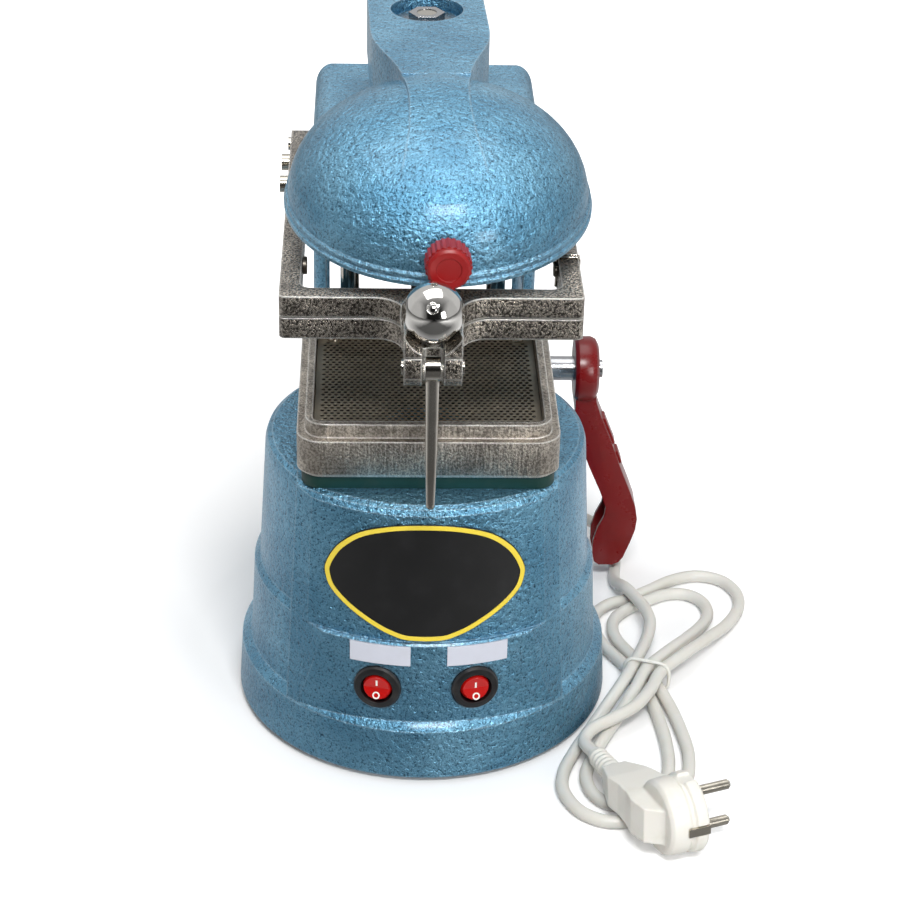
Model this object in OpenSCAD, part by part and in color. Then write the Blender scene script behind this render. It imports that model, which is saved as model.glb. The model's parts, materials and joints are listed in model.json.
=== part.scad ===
// Dental vacuum former. A cast drum base holds the vacuum motor, a square chamber on top draws the
// heated sheet down, a pair of sheet frames rides on a lift in the rear column, and a heater hood
// swings over them. Millimetres. The floor is z = 0, the front is toward -Y, the lever is at +X.

/* [Base] */
// Radius of the drum's foot ring
base_r = 92.5; // [90:0.5:95]
// Height of the drum's flat top
base_h = 144.5; // [142:0.5:148]
// Thickness of the casting walls
wall = 4.5; // [4:0.5:5]
// Gap under the base, the visible height of the rubber feet
foot_h = 3; // [2.5:0.5:5]
// Radius of a rubber foot
foot_r = 8; // [6:0.5:9]

/* [Front panel] */
// Half width of the raised front panel at the top
panel_w = 61; // [58:0.5:63]
// Height of the ledge between badge and switches
ledge_z = 75.5; // [73:0.5:78]
// Distance of each switch from the middle
switch_x = 23.1; // [20:0.1:26]
// Height of the switch centres
switch_z = 50.5; // [48:0.5:54]
// Diameter of the round switch bezels
bezel_d = 23; // [22:0.1:24]
// Width of the oval badge
badge_w = 93.9; // [86:0.1:96]
// Height of the oval badge
badge_h = 60.6; // [56:0.1:61]

/* [Vacuum chamber] */
// Space between the raised rim and the frames round it
rim_gap = 1.25; // [1:0.05:2]
// Width of the flange's step round the rim
step_w = 4; // [3:0.5:5]
// Height of the flange part
flange_h = 19; // [17:0.5:21]
// Height of the rim above the flange
rim_h = 7; // [6.5:0.5:8]
// Thickness of the rubber pad under the chamber
pad_t = 6.5; // [5:0.5:8]
// Diameter of the air duct down to the motor
duct_d = 44; // [38:1:46]

/* [Sheet frames] */
// Outer side of the square frames
frame_w = 135.5; // [134.5:0.5:137]
// Width of the frames' bars
bar = 9.5; // [9:0.25:10.5]
// Thickness of each frame
frame_t = 10; // [9:0.5:10.5]
// Teeth of the lift pinion
gear_n = 26; // [24:1:27]
// Module of the pinion and rack
gear_m = 1.5; // [1.4:0.05:1.5]

/* [Clamp] */
// Diameter of the ball nut
ball_d = 26.7; // [24:0.1:27.5]
// Length of the hanging handle from its pin to its tip
handle_l = 71.5; // [60:0.5:75]
// Diameter of the clamp's cross pin
clamp_pin_d = 5; // [4:0.1:5.5]

/* [Column and hood] */
// Space between the column's sides and the frames' arms
arm_gap = 2.25; // [1.5:0.25:4]
// Radius of the hood at its rim
hood_r = 69.6; // [66:0.2:70.4]
// Height of the hood's crown above its rim
hood_h = 48; // [42:0.5:50]
// Forward lean of the hood in degrees
hood_tilt = 8.8; // [8:0.1:9.4]
// Swing of the hood to the right at rest in degrees
hood_yaw = 1.8; // [0:0.1:3]
// Diameter of the post that the hood swings on
post_d = 20; // [16:0.5:22]
// Diameter of the hood's red knob
knob_d = 20.8; // [18:0.2:21.4]

/* [Lever] */
// Diameter of the lift shaft
shaft_d = 12.8; // [12:0.1:13.2]
// Diameter of the lever's hub
lever_hub_d = 34; // [30:0.5:36]

/* [Cord] */
// Diameter of the mains cord
cord_d = 6.4; // [6:0.1:6.6]
// Diameter of the plug's round head
plug_d = 38; // [36:0.5:39]

/* [View] */
// Which sub-part is drawn

/* [Hidden] */
$fn = 48;
eps = 0.01;
run_fit = 0.04;      // radial clearance of a turning fit
slide_fit = 0.05;    // radial clearance of a sliding fit
seam_gap = 0.4;      // space between the two frames
lever_swing = 178;   // degrees the lever turns over the full travel

// Square sizes, from the frames inward
frame_in = frame_w - 2 * bar;
rim_w = frame_in - 2 * rim_gap;
chamber_w = rim_w + 2 * step_w;
column_w = frame_in - 2 * arm_gap;
pad_bolt = rim_w / 2 - 7;

// Heights
pad_z = base_h;
chamber_z = pad_z + pad_t;
flange_z = chamber_z + flange_h;
rim_z = flange_z + rim_h;
plate_z = rim_z - 9;
pitch_r = gear_m * gear_n / 2;
travel = PI * pitch_r * lever_swing / 180;
seam_z = rim_z - 1 + travel;
lower_z = seam_z - seam_gap / 2 - frame_t;
upper_z = seam_z + seam_gap / 2;
column_top = seam_z + 31;
hood_z = column_top - 4.4;
arm_z0 = column_top + 16;
arm_z1 = column_top + 46;

// Base profile radii
tier_r0 = base_r - 6.4;
tier_r1 = base_r - 9.2;
drum_r0 = base_r - 11.2;
drum_r1 = base_r - 14.8;
ring_z = 31;
top_t = 6;
plinth_top = 36;
plinth_hw = column_w / 2 + 6;
land_y = base_r - 16.9;
plinth_r = 10;

// Panel cones turn about a line behind the drum's axis
panel_y = 14;
panel_r_ledge = base_r + 5.5;
panel_r_top = panel_r_ledge - 6;
shelf_r_ledge = panel_r_ledge + 2.3;
shelf_r_ring = shelf_r_ledge + 0.9;
shelf_slope = atan((shelf_r_ring - shelf_r_ledge) / (ledge_z - ring_z));
panel_slope = atan((panel_r_ledge - panel_r_top) / (base_h - ledge_z));
badge_x = -1.2;
badge_z = ledge_z + 0.7;
badge_t = 1;
glue = 0.1;           // glue line behind the badge
label_w = 28.5;
label_h = 10.5;
label_t = 0.6;
label_z = 69.2;

// Column
col_y0 = land_y + 0.4;
col_y1 = col_y0 + 92;
plinth_y0 = col_y0 - 36;
plinth_y1 = col_y1 + 4;
col_wall = 4;
bay_z = 129;
bay_h = 84;
bay_side = 6.5;
col_r = 8.5;
post_y = col_y0 + 46;
rod_x = 38;
rod_y = col_y0 + 42;
rod_d = 10;

// Lift shaft and lever
shaft_y = col_y0 + 24;
shaft_z = 125.5;
shaft_x0 = -column_w / 2 + 2;
hub_x0 = frame_w / 2 + 11.75;
shaft_x1 = hub_x0 + 9.5;
hub_x1 = hub_x0 + 12.5;
gear_w = 12;
rack_back = 8;

// Frames
arm_in = frame_in / 2;
arm_out = frame_w / 2;
reach = arm_out + 12;
hinge_y = post_y + 12;
hinge_r = 6;
hinge_pin_d = 4;
screw_y = [col_y0 + 18, col_y0 + 46];
carriage_t = 16;

// Clamp
clamp_y = -arm_out - 30.25;
clamp_z = seam_z - 8.5;
ball_z = seam_z + 17.8;
ball_r = ball_d / 2;
ear_y0 = clamp_y - 9;
ear_in = 4.8;
ear_out = 12.7;
slot_y = clamp_y + 12;
eye_r = 6.2;
eye_w = 6.4;
fork_t = 1.2;

// Hood
hood_t = 3;
lip = 1.5;
knob_x = 0.4;
knob_y = -82;
knob_z = hood_z + 3.4;
knob_l = 12;
hub_w = 58;

blue = [0.36, 0.58, 0.70];
nickel = [0.72, 0.70, 0.66];
steel = [0.62, 0.63, 0.65];
red = [0.70, 0.05, 0.07];
black = [0.10, 0.10, 0.11];
teal = [0.05, 0.32, 0.28];
rubber = [0.13, 0.13, 0.13];
brass = [0.78, 0.62, 0.30];
copper = [0.72, 0.42, 0.24];
white = [0.91, 0.90, 0.87];
ceramic = [0.86, 0.84, 0.79];

module at_axis() {
    translate([axis_x, axis_y, 0]) children();
}

module along_x(x0, x1, y, z, r) {
    translate([x0, y, z]) rotate([0, 90, 0]) cylinder(h = x1 - x0, r = r);
}

// Square with rounded corners, centred
module rsq(w, d, r) {
    square([w - 2 * r, d], center = true);
    square([w, d - 2 * r], center = true);
    for (x = [-1, 1]) {
        for (y = [-1, 1]) {
            translate([x * (w / 2 - r), y * (d / 2 - r)]) circle(r = r);
        }
    }
}

function cone_r(z, z0, r0, z1, r1) = r0 + (r1 - r0) * (z - z0) / (z1 - z0);
function shelf_r(z) = cone_r(z, ring_z, shelf_r_ring, ledge_z, shelf_r_ledge);
function panel_r(z) = cone_r(z, ledge_z, panel_r_ledge, base_h, panel_r_top);

// Puts a child on the switch shelf, its +Z outward and its +Y up the shelf
module on_shelf(x, z) {
    r = shelf_r(z);
    a = asin(x / r);
    translate([0, panel_y, 0]) rotate([0, 0, a]) translate([0, -r, z]) rotate([90 - shelf_slope, 0, 0])
        children();
}

// Drum
module drum_outer() {
    rotate_extrude($fn = 96) polygon([
        [0, foot_h], [base_r - 0.5, foot_h], [base_r, foot_h + 0.7], [base_r - 1.5, ring_z - 2.4],
        [base_r - 2.1, ring_z - 1.4], [tier_r0 + 0.4, ring_z + 2], [tier_r0, ring_z + 3],
        [tier_r1 + 0.8, ledge_z - 1.8], [tier_r1 - 0.4, ledge_z + 0.2], [drum_r0, ledge_z + 2],
        [drum_r1, base_h - 4.5], [drum_r1 - 0.9, base_h - 1.8], [drum_r1 - 3.4, base_h], [0, base_h]]);
}

module drum_inner() {
    rotate_extrude($fn = 96) polygon([
        [0, foot_h - 1], [base_r - wall - 1.6, foot_h - 1], [base_r - wall - 2.6, ring_z - 3],
        [tier_r0 - wall, ring_z], [tier_r1 - wall, ledge_z - 3], [drum_r0 - wall, ledge_z + 2],
        [drum_r1 - wall, base_h - top_t], [0, base_h - top_t]]);
}

module panel_cones() {
    translate([0, panel_y, 0]) rotate_extrude($fn = 96) polygon([
        [0, ring_z - 4], [shelf_r_ring + 0.3, ring_z - 4], [shelf_r_ring, ring_z],
        [shelf_r_ledge, ledge_z - 0.9], [shelf_r_ledge - 0.9, ledge_z], [panel_r_ledge, ledge_z],
        [panel_r(base_h - 4), base_h - 4], [panel_r_top - 1.4, base_h - 1.4],
        [panel_r_top - 4, base_h], [0, base_h]]);
}

module panel_sides() {
    lean = 6;
    rotate([90, 0, 0]) linear_extrude(height = base_r + 28) polygon([
        [-panel_w - lean, ring_z - 5], [panel_w + lean, ring_z - 5],
        [panel_w, base_h + 1], [-panel_w, base_h + 1]]);
}

// Slanted cut that bevels the panel's two vertical edges
module panel_bevel(side) {
    bevel = (base_r + 21.5) * sqrt(2) / 2;
    lean = 4.8;
    translate([0, 0, base_h]) rotate([0, 0, side > 0 ? -45 : -135]) rotate([0, -lean, 0])
        translate([bevel, -200, -200]) cube([60, 400, 400]);
}

module plinth_outer() {
    translate([0, (plinth_y0 + plinth_y1) / 2, foot_h]) linear_extrude(height = plinth_top - foot_h)
        rsq(2 * plinth_hw, plinth_y1 - plinth_y0, plinth_r);
}

module plinth_inner() {
    translate([0, (plinth_y0 + plinth_y1) / 2, foot_h - 1])
        linear_extrude(height = plinth_top - foot_h - wall + 1)
        rsq(2 * plinth_hw - 2 * wall, plinth_y1 - plinth_y0 - 2 * wall, plinth_r - wall + 1);
}

boss_x = base_r - 22.5;
boss_y = -22;
rear_x = plinth_hw - 12;
boss_at = [[-boss_x, boss_y], [boss_x, boss_y], [-rear_x, rod_y - 6], [rear_x, rod_y - 6]];
foot_ring = (base_r - 10.5) * sin(45);
foot_at = [[-foot_ring, -foot_ring], [foot_ring, -foot_ring],
    [-rear_x + 2, plinth_y1 - 20], [rear_x - 2, plinth_y1 - 20]];
bolt_x = column_w / 2 - 10;
bolt_at = [[-bolt_x, col_y0 + 12], [bolt_x, col_y0 + 12], [-bolt_x, col_y0 + 60], [bolt_x, col_y0 + 60]];

module base_casting() {
    color(blue) difference() {
        union() {
            difference() {
                union() {
                    drum_outer();
                    difference() {
                        intersection() {
                            panel_cones();
                            panel_sides();
                        }
                        panel_bevel(1);
                        panel_bevel(-1);
                    }
                    plinth_outer();
                }
                intersection() {
                    drum_inner();
                    translate([-base_r - 10, -base_r - 10, 0])
                        cube([2 * base_r + 20, base_r + 10 + land_y - wall, base_h]);
                }
                plinth_inner();
            }
            // bosses for the floor plate's screws, with a web to the ring at the front two
            for (p = boss_at) {
                translate([p[0], p[1], foot_h + 2.5]) cylinder(h = plinth_top - foot_h - 5, r = 5.5);
            }
            for (s = [-1, 1]) {
                translate([s > 0 ? boss_x : -base_r + 6, boss_y - 3, foot_h + 2.5])
                    cube([base_r - 6 - boss_x, 6, 22]);
            }
            // bosses that the rubber feet sit under
            for (p = foot_at) {
                translate([p[0], p[1], foot_h]) cylinder(h = p[1] > 0 ? 30 : 20, r = foot_r - 1);
            }
            // collar round the duct that the motor's seal presses on
            translate([0, 0, base_h - top_t - 3]) cylinder(h = 4, r = duct_d / 2 + 5);
        }
        // the column stands here, so the drum is flat behind it
        translate([-base_r, land_y, plinth_top]) cube([2 * base_r, 60, base_h]);
        translate([0, 0, base_h - 20]) cylinder(h = 30, d = duct_d);
        for (p = boss_at) {
            translate([p[0], p[1], 0]) cylinder(h = foot_h + 16, r = 1.8);
        }
        for (x = [-1, 1]) {
            for (y = [-1, 1]) {
                translate([x * pad_bolt, y * pad_bolt, base_h - 10]) cylinder(h = 20, r = 2.6);
            }
        }
        for (p = bolt_at) {
            translate([p[0], p[1], plinth_top - 10]) cylinder(h = 20, r = 2.6);
        }
        // slot that lets the wires pass into the column
        translate([-8, post_y + 6, plinth_top - 10]) cube([16, 10, 20]);
        for (x = [-switch_x, switch_x]) {
            on_shelf(x, switch_z) {
                translate([0, 0, -0.7]) cylinder(h = 6, d = bezel_d + 0.4);
                translate([0, 0, -housing_l - 2]) cylinder(h = housing_l + 4, d = bezel_d - 3 + 0.2);
            }
        }
        along_x(plinth_hw - 12, plinth_hw + 2, gland_y, gland_z, gland_r);
    }
}

gland_y = post_y + 14;
housing_l = 20;
relief_l = 17;
gland_z = 14;
gland_r = 6;

module base_outline(inset) {
    circle(r = base_r - wall - 2 - inset, $fn = 96);
    translate([0, (plinth_y0 + plinth_y1) / 2]) rsq(2 * (plinth_hw - wall - 0.4 - inset),
        plinth_y1 - plinth_y0 - 2 * (wall + 0.4 + inset), 6);
}

module base_plate() {
    color(steel) difference() {
        translate([0, 0, foot_h + 0.5]) linear_extrude(height = 2) base_outline(0);
        for (p = boss_at) {
            translate([p[0], p[1], 0]) cylinder(h = 20, r = 2.1);
        }
        for (p = foot_at) {
            translate([p[0], p[1], 0]) cylinder(h = 20, r = foot_r - 0.6);
        }
        for (a = [15 : 30 : 345]) {
            rotate([0, 0, a]) translate([58, 0, 0]) cylinder(h = 20, r = 3.2);
        }
        for (a = [0 : 45 : 315]) {
            rotate([0, 0, a]) translate([20, 0, 0]) cylinder(h = 20, r = 3.2);
        }
    }
}

module rubber_feet() {
    color(rubber) for (p = foot_at) {
        translate([p[0], p[1], 0]) rotate_extrude() polygon([
            [0, 0], [foot_r - 1.5, 0], [foot_r - 0.4, 0.6], [foot_r, 1.8],
            [foot_r - 0.8, foot_h], [0, foot_h]]);
    }
}

module base_screws() {
    color(steel) for (p = boss_at) {
        translate([p[0], p[1], foot_h - 1.3]) union() {
            cylinder(h = 1.8, r = 3.4);
            cylinder(h = 14, r = 1.8);
        }
    }
}

// Half of the badge's outline, as shares of its half width and of its height
badge_half = [[0.166, 0.013], [0.326, 0.046], [0.473, 0.096], [0.671, 0.185], [0.814, 0.266], [0.916, 0.342],
    [0.971, 0.409], [1, 0.508], [0.986, 0.574], [0.935, 0.665], [0.858, 0.756], [0.728, 0.853], [0.599, 0.914],
    [0.452, 0.955], [0.285, 0.985], [0.1, 1]];
badge_n = len(badge_half) - 1;
badge_round = curve(concat(badge_half, [for (i = [badge_n : -1 : 0]) [-badge_half[i][0], badge_half[i][1]]],
    [badge_half[0]]), 3);

module badge_plate() {
    color(black) intersection() {
        difference() {
            translate([0, panel_y, 0]) rotate_extrude($fn = 96) polygon([
                [0, ledge_z + 0.1], [panel_r_ledge + badge_t, ledge_z + 0.1],
                [panel_r(base_h) + badge_t, base_h], [0, base_h]]);
            translate([0, panel_y, 0]) rotate_extrude($fn = 96) polygon([
                [0, ledge_z], [panel_r_ledge + glue, ledge_z], [panel_r(base_h) + glue, base_h],
                [panel_r(base_h) + glue, base_h + 1], [0, base_h + 1]]);
            // the drum's own step shows a little in front of the panel just over the ledge
            cylinder(h = ledge_z + 2, r = tier_r1, $fn = 96);
        }
        rotate([90, 0, 0]) linear_extrude(height = base_r + 18) polygon([
            for (i = [0 : len(badge_round) - 2])
                [badge_x + badge_w / 2 * badge_round[i][0], badge_z + badge_h * badge_round[i][1]]]);
    }
}

module label_strips() {
    color(white) for (x = [-21.9, 23.9]) {
        intersection() {
            translate([0, panel_y, 0]) difference() {
                rotate_extrude($fn = 96) polygon([
                    [0, ring_z], [shelf_r(ring_z) + label_t, ring_z],
                    [shelf_r(ledge_z) + label_t, ledge_z], [0, ledge_z]]);
                rotate_extrude($fn = 96) polygon([
                    [0, ring_z - 1], [shelf_r(ring_z), ring_z - 1], [shelf_r(ring_z), ring_z],
                    [shelf_r_ledge, ledge_z - 0.9], [shelf_r_ledge, ledge_z + 1], [0, ledge_z + 1]]);
            }
            // the strip is cut out round the bezel under it
            difference() {
                translate([x - label_w / 2, -base_r - 18, label_z - label_h / 2])
                    cube([label_w, 60, label_h]);
                on_shelf(sign(x) * switch_x, switch_z) translate([0, 0, -5])
                    cylinder(h = 20, d = bezel_d + 0.6);
            }
        }
    }
}

rocker_r = 7.4;
rocker_z = -2.4;
rocker_pin = 1.2;     // radius of the pin that the rocker tilts on

module switch_housings() {
    color(black) for (x = [-switch_x, switch_x]) {
        on_shelf(x, switch_z) difference() {
            union() {
                translate([0, 0, -0.7]) rotate_extrude() polygon([
                    [0, 0], [bezel_d / 2, 0], [bezel_d / 2, 1.2], [bezel_d / 2 - 0.8, 2.3],
                    [bezel_d / 2 - 2.4, 2.6], [0, 2.6]]);
                translate([0, 0, -housing_l]) cylinder(h = housing_l, d = bezel_d - 3);
            }
            difference() {
                union() {
                    translate([0, 0, rocker_z]) sphere(r = rocker_r + 0.35);
                    translate([0, 0, rocker_z]) cylinder(h = 10, r = rocker_r + 0.35);
                }
                along_x(-rocker_r - 2, rocker_r + 2, 0, rocker_z, rocker_pin);
            }
        }
    }
}

module rocker_solid() {
    difference() {
        intersection() {
            sphere(r = rocker_r);
            rotate([90, 0, 90]) linear_extrude(height = 20, center = true) polygon([
                [-9, -4], [9, -4], [9, 5.6], [0, 3.9], [-9, 5.6]]);
        }
        along_x(-rocker_r - 2, rocker_r + 2, 0, 0, rocker_pin + run_fit);
    }
}

module rocker_at(x) {
    on_shelf(x, switch_z) translate([0, 0, rocker_z]) rotate([-7, 0, 0]) rocker_solid();
}

module forming_rocker() {
    color(red) rocker_at(-switch_x);
}

module heating_rocker() {
    color(red) rocker_at(switch_x);
}

module cord_gland() {
    color(white) difference() {
        union() {
            along_x(plinth_hw - wall - 3, plinth_hw + 1, gland_y, gland_z, gland_r - 0.1);
            along_x(plinth_hw, plinth_hw + 3, gland_y, gland_z, gland_r + 2.2);
            along_x(plinth_hw - wall - 5, plinth_hw - wall, gland_y, gland_z, gland_r + 1.4);
            translate([plinth_hw + 3, gland_y, gland_z]) rotate([0, 90, 0])
                cylinder(h = relief_l, r1 = 6, r2 = 4.2);
        }
        along_x(plinth_hw - 20, plinth_hw + 30, gland_y, gland_z, 3.2);
    }
}

module terminal_block() {
    color(white) translate([0, 100, foot_h + 2.5]) difference() {
        translate([-24, -9, 0]) cube([48, 18, 16]);
        for (x = [-18 : 9 : 18]) {
            translate([x, 0, 8]) cylinder(h = 10, r = 2.6);
            translate([x - 2, -10, 3]) cube([4, 20, 3.4]);
        }
    }
}

// Vacuum motor
fan_z1 = base_h - 14.5;
fan_z0 = fan_z1 - 42;
can_z = fan_z0 - 54;
fan_r = base_r - 35.5;

module motor_seal() {
    color(rubber) translate([0, 0, fan_z1]) difference() {
        cylinder(h = base_h - top_t - 3 - fan_z1, r = duct_d / 2 + 9);
        translate([0, 0, -1]) cylinder(h = 20, r = duct_d / 2 - 1);
    }
}

module fan_housing() {
    color(steel) rotate_extrude($fn = 96) polygon([
        [18, fan_z1 - 1.2], [18, fan_z1], [fan_r - 4, fan_z1], [fan_r - 1.2, fan_z1 - 1.2],
        [fan_r, fan_z1 - 4], [fan_r, fan_z0 + 1.6], [fan_r + 4, fan_z0 + 1.6], [fan_r + 4, fan_z0 + 0.4],
        [fan_r - 1.2, fan_z0 + 0.4], [fan_r - 1.2, fan_z1 - 4], [fan_r - 4.6, fan_z1 - 1.2]]);
}

module impeller() {
    color(nickel) difference() {
        union() {
            translate([0, 0, fan_z0 + 10]) cylinder(h = 1.5, r = fan_r - 5);
            translate([0, 0, fan_z0 + 30]) cylinder(h = 1.2, r = fan_r - 5);
            translate([0, 0, fan_z0 + 10]) cylinder(h = 22, r = 8);
            for (a = [0 : 45 : 315]) {
                rotate([0, 0, a]) translate([12, 0, fan_z0 + 10]) rotate([0, 0, 28]) cube([36, 1.4, 20.4]);
            }
        }
        translate([0, 0, fan_z0 + 29]) difference() {
            cylinder(h = 5, r = 17);
            translate([0, 0, -1]) cylinder(h = 8, r = 8);
        }
        translate([0, 0, fan_z0]) cylinder(h = 50, r = 4 + eps);
    }
}

module motor_frame() {
    color(steel) difference() {
        union() {
            translate([0, 0, fan_z0 - 1.6]) cylinder(h = 2, r = fan_r + 4, $fn = 96);
            translate([0, 0, can_z]) cylinder(h = fan_z0 - can_z, r = 41);
            translate([0, 0, can_z - 14]) cylinder(h = 16, r = 17);
        }
        translate([0, 0, can_z + 4]) cylinder(h = fan_z0 - can_z - 7, r = 37.5);
        translate([0, 0, can_z - 24]) cylinder(h = 90, r = 4 + run_fit);
        translate([0, 0, can_z - 10]) cylinder(h = 20, r = 12);
        for (a = [0 : 60 : 300]) {
            rotate([0, 0, a]) translate([28, -9, can_z + 12]) cube([30, 18, 28]);
        }
        for (a = [30 : 60 : 330]) {
            rotate([0, 0, a]) translate([44, 0, fan_z0 - 5]) cylinder(h = 10, r = 3);
        }
    }
}

module motor_armature() {
    color(copper) union() {
        translate([0, 0, can_z - 19]) cylinder(h = fan_z0 + 55 - can_z, r = 4);
        translate([0, 0, can_z + 10]) cylinder(h = 30, r = 21);
        translate([0, 0, can_z + 5.5]) cylinder(h = 39, r = 15);
        translate([0, 0, can_z - 8]) cylinder(h = 10.5, r = 10.5);
    }
}

module motor_cradle() {
    color(rubber) difference() {
        translate([0, 0, foot_h + 2.5]) cylinder(h = can_z + 10 - foot_h, r = 46);
        translate([0, 0, can_z - eps]) cylinder(h = 40, r = 41);
        translate([0, 0, foot_h]) cylinder(h = can_z + 10, r = 30);
        for (a = [0 : 90 : 270]) {
            rotate([0, 0, a]) translate([20, -12, foot_h + 10]) cube([40, 24, 14]);
        }
    }
}

// Vacuum chamber
module chamber_pad() {
    color(teal) difference() {
        translate([0, 0, pad_z]) linear_extrude(height = pad_t) rsq(chamber_w - 4, chamber_w - 4, 9);
        translate([0, 0, pad_z - 1]) cylinder(h = 20, d = duct_d);
        for (x = [-1, 1]) {
            for (y = [-1, 1]) {
                translate([x * pad_bolt, y * pad_bolt, pad_z - 1]) cylinder(h = 20, r = 2.6);
            }
        }
    }
}

// Square with straight cut corners
module csq(w, c) {
    h = w / 2;
    polygon([[-h + c, -h], [h - c, -h], [h, -h + c], [h, h - c], [h - c, h], [-h + c, h], [-h, h - c], [-h, -h + c]]);
}

module vacuum_chamber() {
    inner = rim_w - 7;
    color(nickel) difference() {
        union() {
            translate([0, 0, chamber_z]) linear_extrude(height = 1.2) csq(chamber_w - 2, 7);
            translate([0, 0, chamber_z + 1.2]) linear_extrude(height = flange_h - 1.2) csq(chamber_w, 7);
            translate([0, 0, flange_z - 1]) linear_extrude(height = rim_h + 1) csq(rim_w, 5.4);
        }
        difference() {
            translate([0, 0, chamber_z + 4]) linear_extrude(height = 60) rsq(inner, inner, 4);
            for (x = [-1, 1]) {
                for (y = [-1, 1]) {
                    translate([x * (inner / 2 - 8), y * (inner / 2 - 8), chamber_z])
                        cylinder(h = plate_z - chamber_z, r = 6);
                    translate([x * (inner / 2 - 3) - 5, y * (inner / 2 - 3) - 5, chamber_z])
                        cube([10, 10, plate_z - chamber_z]);
                }
            }
        }
        translate([0, 0, chamber_z - 1]) cylinder(h = 20, d = duct_d);
        for (x = [-1, 1]) {
            for (y = [-1, 1]) {
                translate([x * (inner / 2 - 8), y * (inner / 2 - 8), plate_z - 9]) cylinder(h = 20, r = 1.6);
                translate([x * pad_bolt, y * pad_bolt, chamber_z - 1]) cylinder(h = 9, r = 2.1);
            }
        }
    }
}

module perforated_plate() {
    side = rim_w - 7.6;
    pitch = 6;
    color([0.30, 0.31, 0.32]) translate([0, 0, plate_z]) difference() {
        linear_extrude(height = 1.2) rsq(side, side, 3.4);
        for (j = [-8 : 8]) {
            for (i = [-8 : 8]) {
                x = i * pitch + (abs(j) % 2) * pitch / 2;
                y = j * pitch * 0.95;
                if (abs(x) < side / 2 - 2.2 && abs(x) + abs(y) < side / 2 + 28.8) {
                    translate([x, y, -1]) cylinder(h = 4, r = 1.5, $fn = 16);
                }
            }
        }
        for (x = [-1, 1]) {
            for (y = [-1, 1]) {
                translate([x * (rim_w / 2 - 11.5), y * (rim_w / 2 - 11.5), -1]) cylinder(h = 4, r = 2);
            }
        }
    }
}

module plate_screws() {
    at = rim_w / 2 - 11.5;
    color(nickel) for (x = [-1, 1]) {
        for (y = [-1, 1]) {
            translate([x * at, y * at, plate_z + 1.2]) difference() {
                union() {
                    rotate_extrude() polygon([[0, 0], [3.2, 0], [3, 1], [2, 1.9], [0, 2.2]]);
                    translate([0, 0, -9]) cylinder(h = 9.5, r = 1.5);
                }
                translate([-0.45, -2, 1.3]) cube([0.9, 4, 2]);
                translate([-2, -0.45, 1.3]) cube([4, 0.9, 2]);
            }
        }
    }
}

// Rear column
module column_body() {
    intersection() {
        translate([0, (col_y0 + col_y1) / 2, plinth_top]) linear_extrude(height = column_top - plinth_top)
            rsq(column_w, col_y1 - col_y0, col_r);
        translate([0, col_y1 + 1, 0]) rotate([90, 0, 0]) linear_extrude(height = col_y1 - col_y0 + 2)
            translate([0, column_top / 2]) rsq(column_w, column_top, col_r);
    }
}

module column_housing() {
    color(blue) difference() {
        union() {
            difference() {
                column_body();
                translate([0, (col_y0 + col_y1) / 2, plinth_top - 1])
                    linear_extrude(height = column_top - plinth_top - col_wall + 1)
                    rsq(column_w - 2 * col_wall, col_y1 - col_y0 - 2 * col_wall, col_r - 2.5);
            }
            // seat of the post and the two sockets of the guide rods
            translate([0, post_y, column_top - 17]) cylinder(h = 14, r = 18);
            for (x = [-rod_x, rod_x]) {
                translate([x, rod_y, column_top - 16]) cylinder(h = 13, r = 9);
            }
            for (p = bolt_at) {
                translate([p[0], p[1], plinth_top]) cylinder(h = 22, r = 6);
                translate([p[0] > 0 ? p[0] : p[0] - 7, p[1] - 6, plinth_top]) cube([7, 12, 22]);
            }
        }
        translate([0, post_y, column_top - 12]) cylinder(h = 30, d = post_d);
        for (x = [-rod_x, rod_x]) {
            translate([x, rod_y, column_top - 17]) cylinder(h = 11, d = rod_d);
        }
        for (p = bolt_at) {
            translate([p[0], p[1], plinth_top - 1]) cylinder(h = 16, r = 2.1);
        }
        // openings in the two side walls that the carriage lugs run in
        for (y = screw_y) {
            translate([-column_w, y - 7.5, lower_z - travel - 3]) cube([2 * column_w, 15, travel + frame_t + 6]);
        }
        // open bays in the front and rear walls, with the lift showing between them
        for (y = [col_y0 + col_wall + 1, col_y1 + 1]) {
            translate([0, y, bay_z + bay_h / 2]) rotate([90, 0, 0]) linear_extrude(height = col_wall + 2)
                rsq(column_w - 2 * bay_side, bay_h, 5);
        }
        along_x(-column_w, column_w, shaft_y, shaft_z, 9);
        along_x(-gear_w / 2 - 2, gear_w / 2 + 2, shaft_y, shaft_z, pitch_r + gear_m + 0.6);
    }
}

module column_bolts() {
    color(steel) for (p = bolt_at) {
        translate([p[0], p[1], plinth_top - wall - 3.2]) union() {
            cylinder(h = 3.2, r = 4.2, $fn = 6);
            cylinder(h = 18, r = 2.1);
        }
    }
}

module guide_rods() {
    color(steel) for (x = [-rod_x, rod_x]) {
        translate([x, rod_y, plinth_top]) cylinder(h = column_top - 6 - plinth_top, d = rod_d);
    }
}

module shaft_bushes() {
    color(brass) for (s = [-1, 1]) {
        difference() {
            union() {
                along_x(s > 0 ? column_w / 2 - col_wall - 3 : -column_w / 2 - 0.6,
                    s > 0 ? column_w / 2 + 0.6 : -column_w / 2 + col_wall + 3, shaft_y, shaft_z, 9);
                along_x(s > 0 ? column_w / 2 - col_wall - 3 : -column_w / 2 + col_wall,
                    s > 0 ? column_w / 2 - col_wall : -column_w / 2 + col_wall + 3, shaft_y, shaft_z, 11.5);
            }
            along_x(-reach, reach, shaft_y, shaft_z, shaft_d / 2 + run_fit);
        }
    }
}

module lift_shaft() {
    color(steel) difference() {
        along_x(shaft_x0, shaft_x1, shaft_y, shaft_z, shaft_d / 2);
        along_x(shaft_x1 - 8, shaft_x1 + 1, shaft_y, shaft_z, 2.5);
    }
}

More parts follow.
